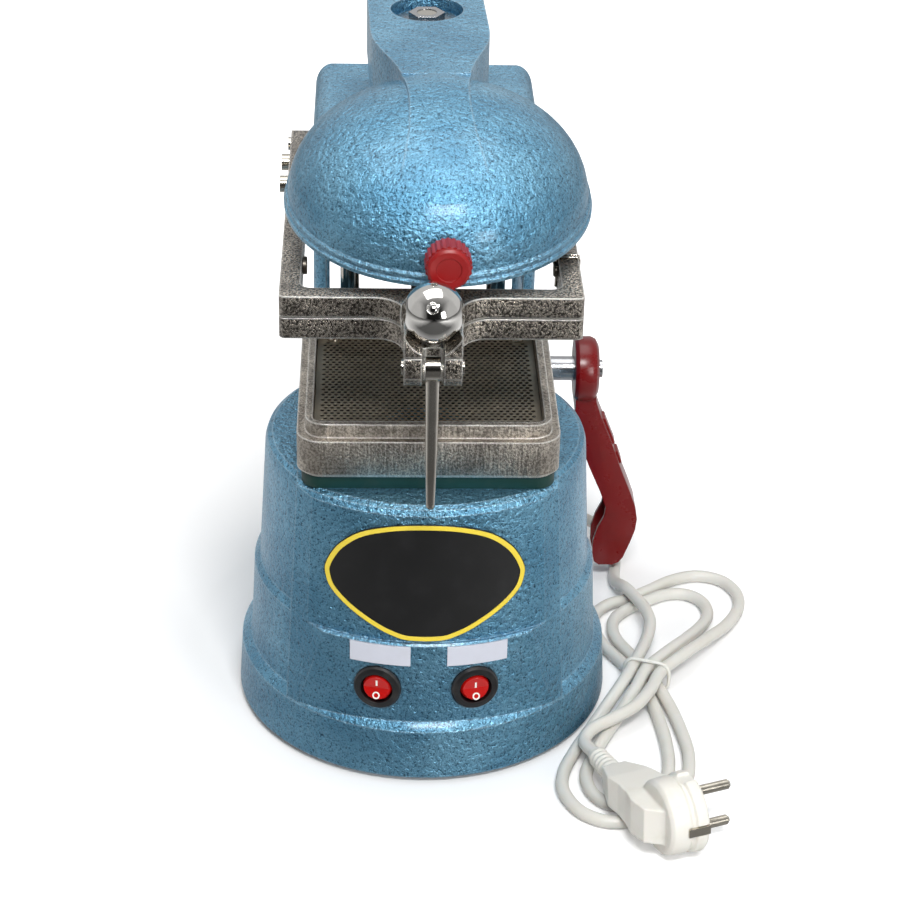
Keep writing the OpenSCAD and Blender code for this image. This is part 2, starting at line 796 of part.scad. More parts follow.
// Half angle of an involute tooth at radius r, in degrees
base_pr = pitch_r * cos(20);
function inv(r) = let (t = sqrt(max(0, r * r / (base_pr * base_pr) - 1))) t * 180 / PI - atan(t);
function tooth_half(r) = 90 / gear_n - 0.12 * 180 / PI / pitch_r + inv(pitch_r) - inv(r);
tooth_rs = [base_pr, base_pr + 0.5, pitch_r - 0.3, pitch_r + 0.3, pitch_r + 0.8, pitch_r + gear_m * 0.95];
root_r = pitch_r - 1.25 * gear_m;

function gear_points() = [for (k = [0 : gear_n - 1]) let (a = 90 + (k + 0.5) * 360 / gear_n) each concat(
    [[root_r * cos(a - tooth_half(base_pr)), root_r * sin(a - tooth_half(base_pr))]],
    [for (r = tooth_rs) [r * cos(a - tooth_half(r)), r * sin(a - tooth_half(r))]],
    [for (i = [len(tooth_rs) - 1 : -1 : 0]) let (r = tooth_rs[i])
        [r * cos(a + tooth_half(r)), r * sin(a + tooth_half(r))]],
    [[root_r * cos(a + tooth_half(base_pr)), root_r * sin(a + tooth_half(base_pr))]])];

module pinion_gear() {
    color(steel) translate([-gear_w / 2, shaft_y, shaft_z]) rotate([90, 0, 90]) difference() {
        linear_extrude(height = gear_w) rotate([0, 0, -90]) polygon(gear_points());
        translate([0, 0, -1]) cylinder(h = gear_w + 2, d = shaft_d);
    }
}

rack_pitch = PI * gear_m;
rack_n0 = -3;
rack_n1 = ceil((travel + 16) / rack_pitch);
rack_y = shaft_y + pitch_r;

module gear_rack() {
    w = rack_pitch / 4 - 0.12;
    ded = 1.25 * gear_m;
    add = 0.95 * gear_m;
    teeth = [for (k = [rack_n0 : rack_n1]) each [
        [ded, k * rack_pitch - w - ded * tan(20)], [-add, k * rack_pitch - w + add * tan(20)],
        [-add, k * rack_pitch + w - add * tan(20)], [ded, k * rack_pitch + w + ded * tan(20)]]];
    top = carriage_z - shaft_z;
    color(steel) translate([-gear_w / 2, rack_y, shaft_z]) rotate([90, 0, 90])
        linear_extrude(height = gear_w) polygon(concat(
            [[ded, (rack_n0 - 0.5) * rack_pitch]], teeth,
            [[ded, top], [ded + rack_back, top], [ded + rack_back, (rack_n0 - 0.5) * rack_pitch]]));
}

// Lever outline seen from the front, x outward from the hub's inner face, z up
lever_pts = [
    [0.9, 116], [11.5, 116], [12.1, 110], [15, 101], [20.4, 88], [26.5, 71], [32.5, 56], [36.1, 46.1],
    [37.3, 39], [36.7, 32], [34.3, 24], [30.9, 14.6], [28.7, 11.4], [25.1, 10], [17.9, 10], [15.3, 12],
    [14.2, 17], [14.2, 25], [16.3, 33], [19.4, 40], [20.1, 46], [16.5, 56], [10, 71], [5.1, 84], [2.5, 94],
    [1.1, 104]];
grip_hollow = [
    [7.5, 98], [17, 86], [23.7, 69], [29.9, 54.4], [33.1, 45], [34.1, 38.6], [33.5, 32.6],
    [31.1, 25], [27.9, 16.2], [26.5, 13.6], [12.5, 13.6], [0.5, 40], [0.5, 98]];
grip_w = 18;

module lever_arm() {
    color(red) difference() {
        union() {
            translate([hub_x0, shaft_y, shaft_z]) rotate([0, 90, 0]) rotate_extrude() polygon([
                [0, 0], [lever_hub_d / 2 - 1.5, 0], [lever_hub_d / 2, 1.8], [lever_hub_d / 2, 8.6],
                [lever_hub_d / 2 - 1.2, 11], [lever_hub_d / 2 - 4, 12.5], [0, 12.5]]);
            translate([hub_x0, shaft_y + grip_w / 2, 0]) rotate([90, 0, 0]) linear_extrude(height = grip_w)
                polygon(lever_pts);
        }
        // hollow side of the grip, open toward the machine
        translate([hub_x0, shaft_y + grip_w / 2 - 2.6, 0]) rotate([90, 0, 0]) linear_extrude(height = grip_w - 5.2)
            polygon(grip_hollow);
        along_x(hub_x0 - 1, shaft_x1, shaft_y, shaft_z, shaft_d / 2 + eps);
        along_x(shaft_x1 - 1, hub_x1 + 1, shaft_y, shaft_z, 2.8);
    }
}

module lever_screw() {
    color(steel) union() {
        along_x(shaft_x1 - 8, hub_x1, shaft_y, shaft_z, 2.5);
        along_x(hub_x1, hub_x1 + 2.4, shaft_y, shaft_z, 4.6);
    }
}

// Carriage inside the column
carriage_z = lower_z + frame_t / 2 - carriage_t / 2;
car_y0 = col_y0 + 10;
car_y1 = col_y0 + 56;

module carriage() {
    color(nickel) difference() {
        union() {
            translate([0, (car_y0 + car_y1) / 2, carriage_z]) linear_extrude(height = carriage_t)
                rsq(column_w - 2 * col_wall - 2, car_y1 - car_y0, 3);
            for (y = screw_y) {
                translate([-arm_in + 0.3, y - 6.5, lower_z]) cube([2 * arm_in - 0.6, 13, frame_t]);
            }
        }
        for (x = [-rod_x, rod_x]) {
            translate([x, rod_y, carriage_z - 1]) cylinder(h = carriage_t + 2, d = rod_d + 5);
        }
        translate([-25, car_y0 - 6, carriage_z - 1]) cube([50, 28, carriage_t + 2]);
        for (y = screw_y) {
            along_x(-reach, -column_w / 2 + 10, y, lower_z + frame_t / 2, 2.1);
            along_x(column_w / 2 - 10, reach, y, lower_z + frame_t / 2, 2.1);
        }
    }
}

module carriage_bushes() {
    color(brass) for (x = [-rod_x, rod_x]) {
        translate([x, rod_y, carriage_z - 2]) difference() {
            union() {
                cylinder(h = carriage_t + 2, d = rod_d + 5);
                cylinder(h = 2, d = rod_d + 8);
            }
            translate([0, 0, -1]) cylinder(h = carriage_t + 6, r = rod_d / 2 + slide_fit);
        }
    }
}

module frame_screws() {
    color(steel) for (s = [-1, 1]) {
        for (y = screw_y) {
            along_x(s > 0 ? arm_out : -arm_out - 5, s > 0 ? arm_out + 5 : -arm_out, y, lower_z + frame_t / 2, 4.2);
            along_x(s > 0 ? column_w / 2 - 8 : -arm_out - 1, s > 0 ? arm_out + 1 : -column_w / 2 + 8,
                y, lower_z + frame_t / 2, 2.1);
        }
    }
}

// Sheet frames: square ring, two rear arms, a front lug with a slot for the clamp
module frame_plan() {
    difference() {
        union() {
            rsq(frame_w, frame_w, 3);
            for (s = [-1, 1]) {
                translate([s > 0 ? arm_in : -arm_out, 0]) square([bar, hinge_y - hinge_r - 1]);
            }
            lug_plan();
        }
        rsq(frame_in, frame_in, 5);
        translate([-arm_in, frame_in / 2 + bar]) square([2 * arm_in, 100]);
        translate([-ear_in, ear_y0 - 1]) square([2 * ear_in, slot_y - ear_y0 + 1]);
    }
}

fillet_r = 13;

module lug_plan() {
    front = -frame_w / 2;
    difference() {
        translate([-ear_out - fillet_r, ear_y0]) square([2 * (ear_out + fillet_r), front - ear_y0 + 4]);
        for (s = [-1, 1]) {
            translate([s * (ear_out + fillet_r), front - fillet_r]) circle(r = fillet_r);
            translate([s > 0 ? ear_out : -ear_out - fillet_r - 1, ear_y0 - 1])
                square([fillet_r + 1, front - fillet_r - ear_y0 + 1]);
        }
    }
}

// Round track that the ball nut swings through, about the cross pin
module ball_track() {
    translate([0, clamp_y, clamp_z]) rotate([0, 90, 0]) rotate_extrude()
        translate([ball_z - clamp_z, 0]) circle(r = ball_r + 0.3);
}

module hinge_knuckle(x0, x1) {
    along_x(x0, x1, hinge_y, seam_z, hinge_r);
}

module lower_frame() {
    color(nickel) difference() {
        union() {
            translate([0, 0, lower_z]) linear_extrude(height = frame_t) frame_plan();
            for (s = [-1, 1]) {
                translate([s > 0 ? ear_in : -ear_out, 0, 0]) intersection() {
                    union() {
                        along_x(0, ear_out - ear_in, clamp_y, clamp_z, 8);
                        translate([0, clamp_y - 8, clamp_z]) cube([ear_out - ear_in, 16, 6]);
                        translate([0, clamp_y + 2, lower_z]) cube([ear_out - ear_in, 16, 6]);
                    }
                    translate([0, ear_y0, clamp_z - 20]) cube([20, 40, lower_z + frame_t - clamp_z + 20]);
                }
                hinge_knuckle(s > 0 ? (arm_in + arm_out) / 2 + 0.15 : -arm_out,
                    s > 0 ? arm_out : -(arm_in + arm_out) / 2 - 0.15);
                translate([s > 0 ? (arm_in + arm_out) / 2 + 0.15 : -arm_out, hinge_y - 10, lower_z])
                    cube([bar / 2 - 0.15, 10, seam_z - lower_z - hinge_r + 4]);
            }
        }
        translate([-frame_w / 2 + 5.2, -frame_w / 2 + 5.2, lower_z - 1])
            linear_extrude(height = 5.5) square(frame_w - 10.4);
        along_x(-40, 40, clamp_y, clamp_z, clamp_pin_d / 2);
        along_x(-reach, reach, hinge_y, seam_z, hinge_pin_d / 2);
        for (y = screw_y) {
            along_x(-reach, reach, y, lower_z + frame_t / 2, 2.1);
        }
        ball_track();
    }
}

module upper_frame() {
    color(nickel) difference() {
        union() {
            translate([0, 0, upper_z]) linear_extrude(height = frame_t) frame_plan();
            for (s = [-1, 1]) {
                hinge_knuckle(s > 0 ? arm_in : -(arm_in + arm_out) / 2 + 0.15,
                    s > 0 ? (arm_in + arm_out) / 2 - 0.15 : -arm_in);
                translate([s > 0 ? arm_in : -(arm_in + arm_out) / 2 + 0.15, hinge_y - 10, upper_z])
                    cube([bar / 2 - 0.15, 10, hinge_r - seam_gap / 2 - 1]);
            }
        }
        along_x(-reach, reach, hinge_y, seam_z, hinge_pin_d / 2);
        translate([-ear_in, clamp_y - 12, upper_z - 1]) cube([2 * ear_in, 24, frame_t + 2]);
        ball_track();
    }
}

module hinge_pins() {
    color(steel) for (s = [-1, 1]) {
        along_x(s > 0 ? arm_in : -arm_out - 1, s > 0 ? arm_out + 1 : -arm_in, hinge_y, seam_z, hinge_pin_d / 2);
        along_x(s > 0 ? arm_out : -arm_out - 2, s > 0 ? arm_out + 2 : -arm_out, hinge_y, seam_z, 3.4);
    }
}

module clamp_pin() {
    color(steel) union() {
        along_x(-ear_out, ear_out, clamp_y, clamp_z, clamp_pin_d / 2);
        for (s = [-1, 1]) {
            along_x(s > 0 ? ear_out : -ear_out - 1, s > 0 ? ear_out + 1 : -ear_out, clamp_y, clamp_z, clamp_pin_d / 2 + 0.8);
        }
    }
}

module clamp_bolt() {
    half = eye_w / 2 + 0.1;
    color(steel) difference() {
        union() {
            for (s = [-1, 1]) {
                translate([s > 0 ? half : -half - fork_t, 0, 0]) {
                    along_x(0, fork_t, clamp_y, clamp_z, eye_r);
                    translate([0, clamp_y - 5, clamp_z]) cube([fork_t, 10, 11.5]);
                }
            }
            translate([-half, clamp_y - 4, clamp_z + 7]) cube([2 * half, 8, 4.5]);
            translate([0, clamp_y, clamp_z + 9]) cylinder(h = ball_z - clamp_z - 5, d = 6);
        }
        along_x(-20, 20, clamp_y, clamp_z, clamp_pin_d / 2 + run_fit);
    }
}

module clamp_handle() {
    color(steel) difference() {
        union() {
            along_x(-eye_w / 2, eye_w / 2, clamp_y, clamp_z, eye_r);
            translate([0, clamp_y, clamp_z - handle_l]) rotate_extrude() polygon([
                [0, 0], [1.2, 0.3], [1.9, 1.4], [2.1, 3], [2.5, 16], [2.8, 31], [3, 52],
                [3.15, handle_l - 4], [0, handle_l - 4]]);
        }
        along_x(-20, 20, clamp_y, clamp_z, clamp_pin_d / 2 + run_fit);
    }
}

module ball_nut() {
    color(nickel) translate([0, clamp_y, ball_z]) difference() {
        sphere(r = ball_r, $fn = 96);
        translate([0, 0, -ball_r - 1]) cylinder(h = ball_r + 5.5, r = 3 + run_fit);
        translate([0, 0, -ball_r - 1]) cylinder(h = 1.9, r = 8);
        translate([0, 0, -ball_r + 0.8]) cylinder(h = 3, r1 = 5.4, r2 = 3);
        translate([0, 0, ball_r - 1.6]) cylinder(h = 3, r = 1.6);
    }
}

// Hood assembly, turned to the right about the post
module hood_pose() {
    translate([0, post_y, 0]) rotate([0, 0, hood_yaw]) translate([0, -post_y, 0]) children();
}

hood_y = 1.5;

// The tilted shell stands on its own rim plane
module hood_lean() {
    translate([0, hood_y, hood_z]) rotate([hood_tilt, 0, 0]) children();
}

function dome_pt(r, h, t) = [r * pow(cos(t), 2 / 2.35), h * pow(sin(t), 2 / 2.35)];

module dome_solid(r, h) {
    rotate_extrude($fn = 96) polygon(concat([[0, 0]], [for (t = [0 : 5 : 85]) dome_pt(r, h, t)], [[0, h]]));
}

// Half widths of the arm, from the hub over the crown to where it runs out on the dome
waist = [[hub_w / 2, 93], [28.2, 80], [25, 66], [21.8, 56], [18.8, 46], [16.2, 33], [14.6, 20], [13.8, 5],
    [14, -8], [15, -22], [17, -35], [20, -48], [24, -60]];

module arm_plan(front) {
    corner = 5;
    shape = [for (q = curve(waist, 2)) if (q[1] >= front) [q[0], q[1]]];
    n = len(shape) - 1;
    union() {
        translate([0, post_y]) rsq(hub_w, hub_w, corner);
        polygon(concat([[hub_w / 2, post_y]], shape, [for (i = [n : -1 : 0]) [-shape[i][0], shape[i][1]]],
            [[-hub_w / 2, post_y]]));
    }
}

module heater_hood() {
    color(blue) hood_pose() difference() {
        union() {
            hood_lean() union() {
                dome_solid(hood_r, hood_h);
                rotate_extrude($fn = 96) polygon([
                    [0, 0], [hood_r + lip, 0], [hood_r + lip, 1.8], [hood_r + 0.4, 2.6], [hood_r + 0.4, 3.4],
                    [hood_r + 0.9, 4], [hood_r + 0.7, 5.2], [hood_r - 0.2, 6], [0, 6]]);
            }
            translate([0, 0, arm_z0]) linear_extrude(height = arm_z1 - arm_z0) arm_plan(30);
            // raised strip in which the arm runs out over the dome
            intersection() {
                hood_lean() translate([0, 3, 1.6]) dome_solid(hood_r - 0.4, hood_h);
                translate([0, 0, hood_z]) linear_extrude(height = hood_h + 20) arm_plan(-60);
            }
        }
        hood_lean() translate([0, 0, -0.01]) dome_solid(hood_r - hood_t, hood_h - hood_t);
        // the arm's underside is cut back to the dome's wall
        hood_lean() translate([0, 0, -60]) cylinder(h = 60, r = hood_r + 20);
        translate([0, post_y, arm_z0 - 1]) cylinder(h = arm_z1 - arm_z0 + 2, d = post_d + 6);
        translate([0, post_y, arm_z1 - 7]) cylinder(h = 8, d = post_d + 16);
        translate([knob_x, knob_y + knob_l - 6, knob_z]) rotate([-90, 0, 0]) cylinder(h = 24, r = 3);
    }
}

module hood_bush() {
    color(brass) hood_pose() translate([0, post_y, arm_z0]) difference() {
        cylinder(h = arm_z1 - arm_z0 - 7, d = post_d + 6);
        translate([0, 0, -1]) cylinder(h = 60, r = post_d / 2 + run_fit);
    }
}

module pivot_post() {
    color(steel) translate([0, post_y, 0]) difference() {
        union() {
            translate([0, 0, column_top - 12]) cylinder(h = arm_z1 - 6.8 - column_top + 12, d = post_d);
            translate([0, 0, arm_z1 - 7]) cylinder(h = 5, d = 10);
        }
    }
}

module post_collar() {
    color(steel) translate([0, post_y, column_top]) difference() {
        cylinder(h = arm_z0 - column_top - 0.3, d = 40);
        translate([0, 0, -1]) cylinder(h = 40, d = post_d);
    }
}

module post_nut() {
    color(steel) translate([0, post_y, arm_z1 - 6.6]) difference() {
        union() {
            cylinder(h = 1.4, d = post_d + 10);
            cylinder(h = 5, r = 9, $fn = 6);
        }
        translate([0, 0, -1]) cylinder(h = 10, d = 10);
    }
}

// Height of the dome's inner face above the rim plane at radius r
function roof_z(r) = (hood_h - hood_t) * pow(1 - pow(r / (hood_r - hood_t), 2.35), 1 / 2.35);

shield_z = 26;
pillar_at = 30;
pillar_r = 4;

// The shield hangs from the dome on four pillars
module heat_shield() {
    color(steel) hood_pose() hood_lean() union() {
        translate([0, 0, shield_z]) cylinder(h = 1, r = 52);
        rotate_extrude($fn = 96) polygon([[59, 8], [60, 8], [52, shield_z + 1], [51, shield_z + 1]]);
        for (a = [45 : 90 : 315]) {
            rotate([0, 0, a]) translate([pillar_at, 0, shield_z])
                cylinder(h = roof_z(pillar_at + pillar_r) - 0.35 - shield_z, r = pillar_r);
        }
    }
}

module heater_former() {
    color(ceramic) hood_pose() hood_lean() difference() {
        translate([0, 0, 12]) cylinder(h = 14, r = 50, $fn = 96);
        rotate_extrude($fn = 96) for (r = [12 : 8 : 44]) {
            translate([r, 12]) circle(r = 2.6, $fn = 24);
        }
    }
}

module heating_coil() {
    color(copper) hood_pose() hood_lean() for (r = [12 : 8 : 44]) {
        translate([0, 0, 12]) rotate_extrude($fn = 64) translate([r, 0]) circle(r = 1.7, $fn = 16);
    }
}

flute_z = 2.4;

module hood_knob() {
    color(red) hood_pose() translate([knob_x, knob_y, knob_z]) rotate([-90, 0, 0]) difference() {
        union() {
            rotate_extrude() polygon([
                [0, 0], [knob_d / 2 - 2, 0], [knob_d / 2 - 0.9, 0.9], [knob_d / 2 - 0.75, flute_z],
                [0, flute_z]]);
            translate([0, 0, flute_z]) linear_extrude(height = knob_l - flute_z)
                polygon([for (a = [0 : 3.75 : 356.25]) (knob_d / 2 - 0.35 * (1 - cos(24 * a))) * [cos(a), sin(a)]]);
        }
        translate([0, 0, knob_l - 8]) cylinder(h = 9, r = 3);
        translate([0, 0, -1]) rotate_extrude() polygon([[0, 0], [6, 0], [5.4, 1.5], [0, 1.5]]);
    }
}

module knob_stud() {
    color(steel) hood_pose() translate([knob_x, knob_y + knob_l - 8, knob_z]) rotate([-90, 0, 0])
        cylinder(h = 16, r = 3);
}

// Mains cord: out of the gland, under the lever, twice round a figure eight, and to the plug
plug_p = [113.5, -141.5, plug_d / 2 + 0.4];
plug_az = 20;
plug_dip = 6.6;
plug_off = -10;
plug_len = 64;
pin_d = 4.8;
pin_l = 19;
pin_gap = 9.5;
tie_z = 4.9;
tie_step = 7.2;
gland_tip = plinth_hw + 3 + relief_l;

function plug_dir(v) = let (c = cos(plug_dip), s = sin(plug_dip), y = v[1] * c + v[2] * s, z = v[2] * c - v[1] * s)
    [v[0] * cos(plug_az) - y * sin(plug_az), v[0] * sin(plug_az) + y * cos(plug_az), z];
plug_end = plug_p + plug_dir([plug_off, plug_len, 0]);
plug_in = plug_p + plug_dir([plug_off, plug_len + 2 * cord_d, 0]);

lead_pts = [
    [gland_tip, gland_y, gland_z], [gland_tip + cord_d, gland_y, gland_z], [97.5, 134, 10.8], [104, 128, 6.4],
    [107.3, 119.5, 3.8], [108, 109, 3.3], [107, 98, 3.3], [106, 88, 3.4], [106.5, 80, 5.2], [108, 73, 8.4],
    [110.5, 66, 10.5], [114.5, 57, 10.7], [118.5, 46, 10.6], [120, 34, 10.6], [117.5, 20, 10.8],
    [113, 6, 11.5], [107, -9.6, tie_z + tie_step]];
hank_pts = [
    [100, -25, 11.4], [91, -40, 8], [82, -55, 4.6], [73.5, -71, 3.3], [67, -88, 3.3], [66, -103, 3.3],
    [72.5, -118, 3.3], [84, -126, 3.3], [98, -125.5, 3.3], [111, -118.5, 3.3], [121, -106, 3.3], [127, -90, 3.3],
    [129, -72, 3.3], [127.5, -54, 3.4], [124, -34, 4], [117.8, -12.5, tie_z],
    [114.4, 0, 4.4], [108, 14, 3.5], [102.5, 27, 3.3], [101, 38, 3.3], [103.5, 48.5, 3.3], [111, 57, 3.3],
    [121, 64.5, 3.3], [132, 71, 3.3], [143, 71.5, 3.3], [151, 64.5, 3.3], [153, 53, 3.4], [149, 40, 4.8],
    [139.5, 23, 8.3], [126.8, 5, 11.4], [114, -12, tie_z + tie_step],
    [107, -28, 11.4], [98.5, -44, 8], [89.5, -59.5, 4.6], [82, -75.5, 3.3], [77.5, -91, 3.3], [80, -105, 3.3],
    [88, -113.5, 3.3], [98.5, -114, 3.3], [108, -108, 3.3], [115, -97, 3.3], [118.5, -82, 3.3], [119, -64, 3.3],
    [117.5, -45, 3.5], [114.5, -27, 4.2], [109.6, -11.2, tie_z],
    [104, 3, 4.4], [97.2, 17, 3.5], [92.5, 30, 3.3], [91, 42, 3.3], [93.5, 53, 3.3], [101, 61.5, 3.3],
    [111, 66.5, 3.3], [123, 75, 3.3], [137, 85.5, 3.3], [151.5, 90, 3.3], [164.5, 85, 3.3], [171, 72, 3.3],
    [169.5, 56, 3.7], [161, 38, 5.5], [149, 21, 8.6], [136, 3.6, 11.4], [121.2, -14.4, tie_z + tie_step]];
tail_pts = [
    [113.8, -31, 12.1], [104.8, -45.5, 12.2], [93.5, -55.5, 12.4], [82, -64, 11.5], plug_in, plug_end];
cord_pts = concat(lead_pts, hank_pts, tail_pts);

// Smooth curve through the points, k steps from one to the next
function curve_at(p, i, t) = let (n = len(p), a = p[max(i - 1, 0)], b = p[i], c = p[min(i + 1, n - 1)], d = p[min(i + 2, n - 1)])
    0.5 * (2 * b + t * (c - a) + t * t * (2 * a - 5 * b + 4 * c - d) + t * t * t * (3 * b - a - 3 * c + d));
function curve(p, k) = [for (i = [0 : len(p) - 2]) for (j = [0 : k - 1]) curve_at(p, i, j / k), p[len(p) - 1]];
function unit(v) = v / norm(v);

cord_k = 2;
cord_sides = 8;
cord_line = curve(cord_pts, cord_k);
function cord_dir(i) = let (n = len(cord_line) - 1)
    i == 0 ? [1, 0, 0] : i == n ? unit(plug_end - plug_in) : unit(cord_line[i + 1] - cord_line[i - 1]);
function cord_ring(i) = let (t = cord_dir(i), s = unit(cross(t, [0, 0, 1])), u = cross(s, t), r = cord_d / 2)
    [for (k = [0 : cord_sides - 1]) let (a = (k + 0.5) * 360 / cord_sides) cord_line[i] + r * (cos(a) * s + sin(a) * u)];

module cord_part(i0, i1) {
    m = cord_sides;
    n = i1 - i0;
    polyhedron(
        points = [for (i = [i0 : i1]) each cord_ring(i)],
        faces = concat(
            [for (k = [1 : m - 2]) [0, k, k + 1]],
            [for (i = [0 : n - 1]) for (k = [0 : m - 1]) each [
                [i * m + k, (i + 1) * m + k, (i + 1) * m + (k + 1) % m],
                [i * m + k, (i + 1) * m + (k + 1) % m, i * m + (k + 1) % m]]],
            [for (k = [1 : m - 2]) [n * m, n * m + k + 1, n * m + k]]));
}

lead_end = cord_k * (len(lead_pts) - 1);
hank_end = lead_end + cord_k * len(hank_pts);

module cord_lead() {
    color(white) cord_part(0, lead_end);
}

module cord_hank() {
    line = curve(cord_pts, 5);
    gap = min([for (i = [0 : len(line) - 14]) for (j = [i + 13 : len(line) - 1]) norm(line[i] - line[j])]) - cord_d;
    run = [for (i = [1 : len(line) - 1]) norm(line[i] - line[i - 1])];
    echo(least_gap = gap, cord_length = run * [for (v = run) 1]);
    color(white) cord_part(lead_end, hank_end);
}

module cord_tail() {
    color(white) cord_part(hank_end, len(cord_line) - 1);
}

// Strap round the five runs where they cross
module cord_tie() {
    w = 3 * tie_step + cord_d + 0.2 - tie_step + 1.2;
    h = tie_step + cord_d + 0.6;
    color(white) translate([114, -12, tie_z - cord_d / 2 - 0.3 + h / 2]) rotate([90, 0, -19.5])
        linear_extrude(height = 3, center = true) difference() {
            rsq(w + 2.4, h + 2.4, 4);
            rsq(w, h, 3);
        }
}

module plug_pose() {
    translate(plug_p) rotate([0, 0, plug_az]) rotate([-plug_dip, 0, 0]) children();
}

module plug_body() {
    r = plug_d / 2;
    grip = [[-19.5, 30], [-16, 44], [-4, 44], [1.5, 34], [6, 20], [8, 8], [8, -6], [-9, -10], [-17, -4], [-19, 6],
        [-17.8, 14], [-17.8, 22]];
    color(white) plug_pose() difference() {
        union() {
            rotate([0, 90, 0]) rotate_extrude() polygon([
                [0, -9], [r - 3, -9], [r - 1.2, -7.5], [r - 0.6, 0.5], [r - 1.6, 1.5], [r - 1.6, 3],
                [r - 0.2, 3.8], [r, 5.5], [r, 8.6], [r - 1, 9.8], [0, 9.8]]);
            intersection() {
                translate([0, 0, -9]) linear_extrude(height = 18) polygon(grip);
                rotate([90, 0, 90]) linear_extrude(height = 60, center = true) polygon([
                    [-12, -9], [10, -9], [30, -8], [45, -5.6], [45, 5.6], [30, 8], [10, 9], [-12, 9]]);
            }
            translate([plug_off, 43, 0]) rotate([-90, 0, 0]) cylinder(h = plug_len - 43, r1 = 5.4, r2 = 4.2);
            for (y = [46 : 3.4 : 60]) {
                translate([plug_off, y, 0]) rotate([-90, 0, 0]) cylinder(h = 1.6, r = 5.6 - (y - 46) * 0.04);
            }
        }
        for (z = [-pin_gap, pin_gap]) {
            translate([2, 0, z]) rotate([0, 90, 0]) cylinder(h = 20, d = pin_d);
        }
        translate([-1, -r - 1, -2.5]) cube([20, 2.6, 5]);
        for (z = [-r - 1, r - 1.8]) {
            translate([1, -3.5, z]) cube([12, 7, 2.8]);
        }
    }
}

module plug_pins() {
    color(nickel) plug_pose() for (z = [-pin_gap, pin_gap]) {
        translate([2, 0, z]) rotate([0, 90, 0]) rotate_extrude() polygon([
            [0, 0], [pin_d / 2, 0], [pin_d / 2, pin_l + 6.4], [pin_d / 2 - 1, pin_l + 7.6],
            [0, pin_l + 7.8]]);
    }
}

module plug_clip() {
    r = plug_d / 2;
    color(nickel) plug_pose() translate([-1, -r + 1.6 - 1.4, -2.1]) cube([10.8, 1.4, 4.2]);
}

// The lever and the ball reach further out than the drum, so its axis stands off the middle
axis_x = -(hub_x0 + max([for (p = lever_pts) p[0]]) - base_r) / 2;
axis_y = -(plinth_y1 + clamp_y - ball_r) / 2;

at_axis() {
    base_casting();
    base_plate();
    rubber_feet();
    base_screws();
    badge_plate();
    label_strips();
    switch_housings();
    forming_rocker();
    heating_rocker();
    cord_gland();
    terminal_block();
    motor_seal();
    fan_housing();
    impeller();
    motor_frame();
    motor_armature();
    motor_cradle();
    chamber_pad();
    vacuum_chamber();
    perforated_plate();
    plate_screws();
    column_housing();
    column_bolts();
    guide_rods();
    shaft_bushes();
    lift_shaft();
    pinion_gear();
    lever_arm();
    lever_screw();
    carriage();
    gear_rack();
    carriage_bushes();
    frame_screws();
    lower_frame();
    upper_frame();
    hinge_pins();
    clamp_pin();
    clamp_bolt();
    clamp_handle();
    ball_nut();
    pivot_post();
    post_collar();
    heater_hood();
    hood_bush();
    post_nut();
    heat_shield();
    heater_former();
    heating_coil();
    hood_knob();
    knob_stud();
    cord_lead();
    cord_hank();
    cord_tail();
    cord_tie();
    plug_body();
    plug_pins();
    plug_clip();
}
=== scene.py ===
import json
import math
import bmesh
import bpy
from mathutils import Matrix, Vector

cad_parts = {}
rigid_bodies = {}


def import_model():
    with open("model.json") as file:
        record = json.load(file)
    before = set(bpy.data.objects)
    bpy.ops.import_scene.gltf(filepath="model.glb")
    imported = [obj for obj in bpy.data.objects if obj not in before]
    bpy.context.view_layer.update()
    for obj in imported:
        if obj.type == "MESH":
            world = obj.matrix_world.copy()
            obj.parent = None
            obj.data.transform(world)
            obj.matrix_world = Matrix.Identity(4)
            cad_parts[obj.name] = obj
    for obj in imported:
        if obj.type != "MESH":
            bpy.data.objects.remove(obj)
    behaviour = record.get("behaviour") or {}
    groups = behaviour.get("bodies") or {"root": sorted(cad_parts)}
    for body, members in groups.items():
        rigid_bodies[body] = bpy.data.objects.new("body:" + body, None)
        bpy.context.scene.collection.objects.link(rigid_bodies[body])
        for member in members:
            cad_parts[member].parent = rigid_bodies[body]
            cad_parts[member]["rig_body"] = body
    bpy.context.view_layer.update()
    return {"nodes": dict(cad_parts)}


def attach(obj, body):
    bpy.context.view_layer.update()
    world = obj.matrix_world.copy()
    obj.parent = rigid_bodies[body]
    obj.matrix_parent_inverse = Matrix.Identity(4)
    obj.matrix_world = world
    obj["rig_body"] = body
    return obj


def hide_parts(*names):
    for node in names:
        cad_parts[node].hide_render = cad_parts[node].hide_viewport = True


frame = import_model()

mm = 0.001
axisX, axisY = -12.15, -30.325  # where the drum's axis stands in the frame, in mm
nodes = frame["nodes"]
print("frame loaded with", len(nodes), "parts")


# Points are written in mm from the foot of the drum's axis: x right, y back, z up
def at(x, y, z):
    return Vector(((x + axisX) * mm, (y + axisY) * mm, z * mm))


camera = {"place": (-26.5, -1053.3, 722.1), "ahead": (0.03175, 0.87198, -0.48852),
          "roll": 1.29, "lens": 99.15, "sensor": 36, "sees": 50}


def aimCamera():
    ahead = Vector(camera["ahead"]).normalized()
    right = ahead.cross(Vector((0, 0, 1))).normalized()
    up = right.cross(ahead)
    c, s = math.cos(math.radians(camera["roll"])), math.sin(math.radians(camera["roll"]))
    right, up = c * right + s * up, c * up - s * right
    data = bpy.data.cameras.new("viewCamera")
    data.lens = camera["lens"]
    data.sensor_width = camera["sensor"]
    data.clip_end = camera["sees"]
    obj = bpy.data.objects.new("viewCamera", data)
    turn = Matrix((right, up, -ahead)).transposed().to_4x4()
    obj.matrix_world = Matrix.Translation(at(*camera["place"])) @ turn
    bpy.context.scene.collection.objects.link(obj)
    bpy.context.scene.camera = obj


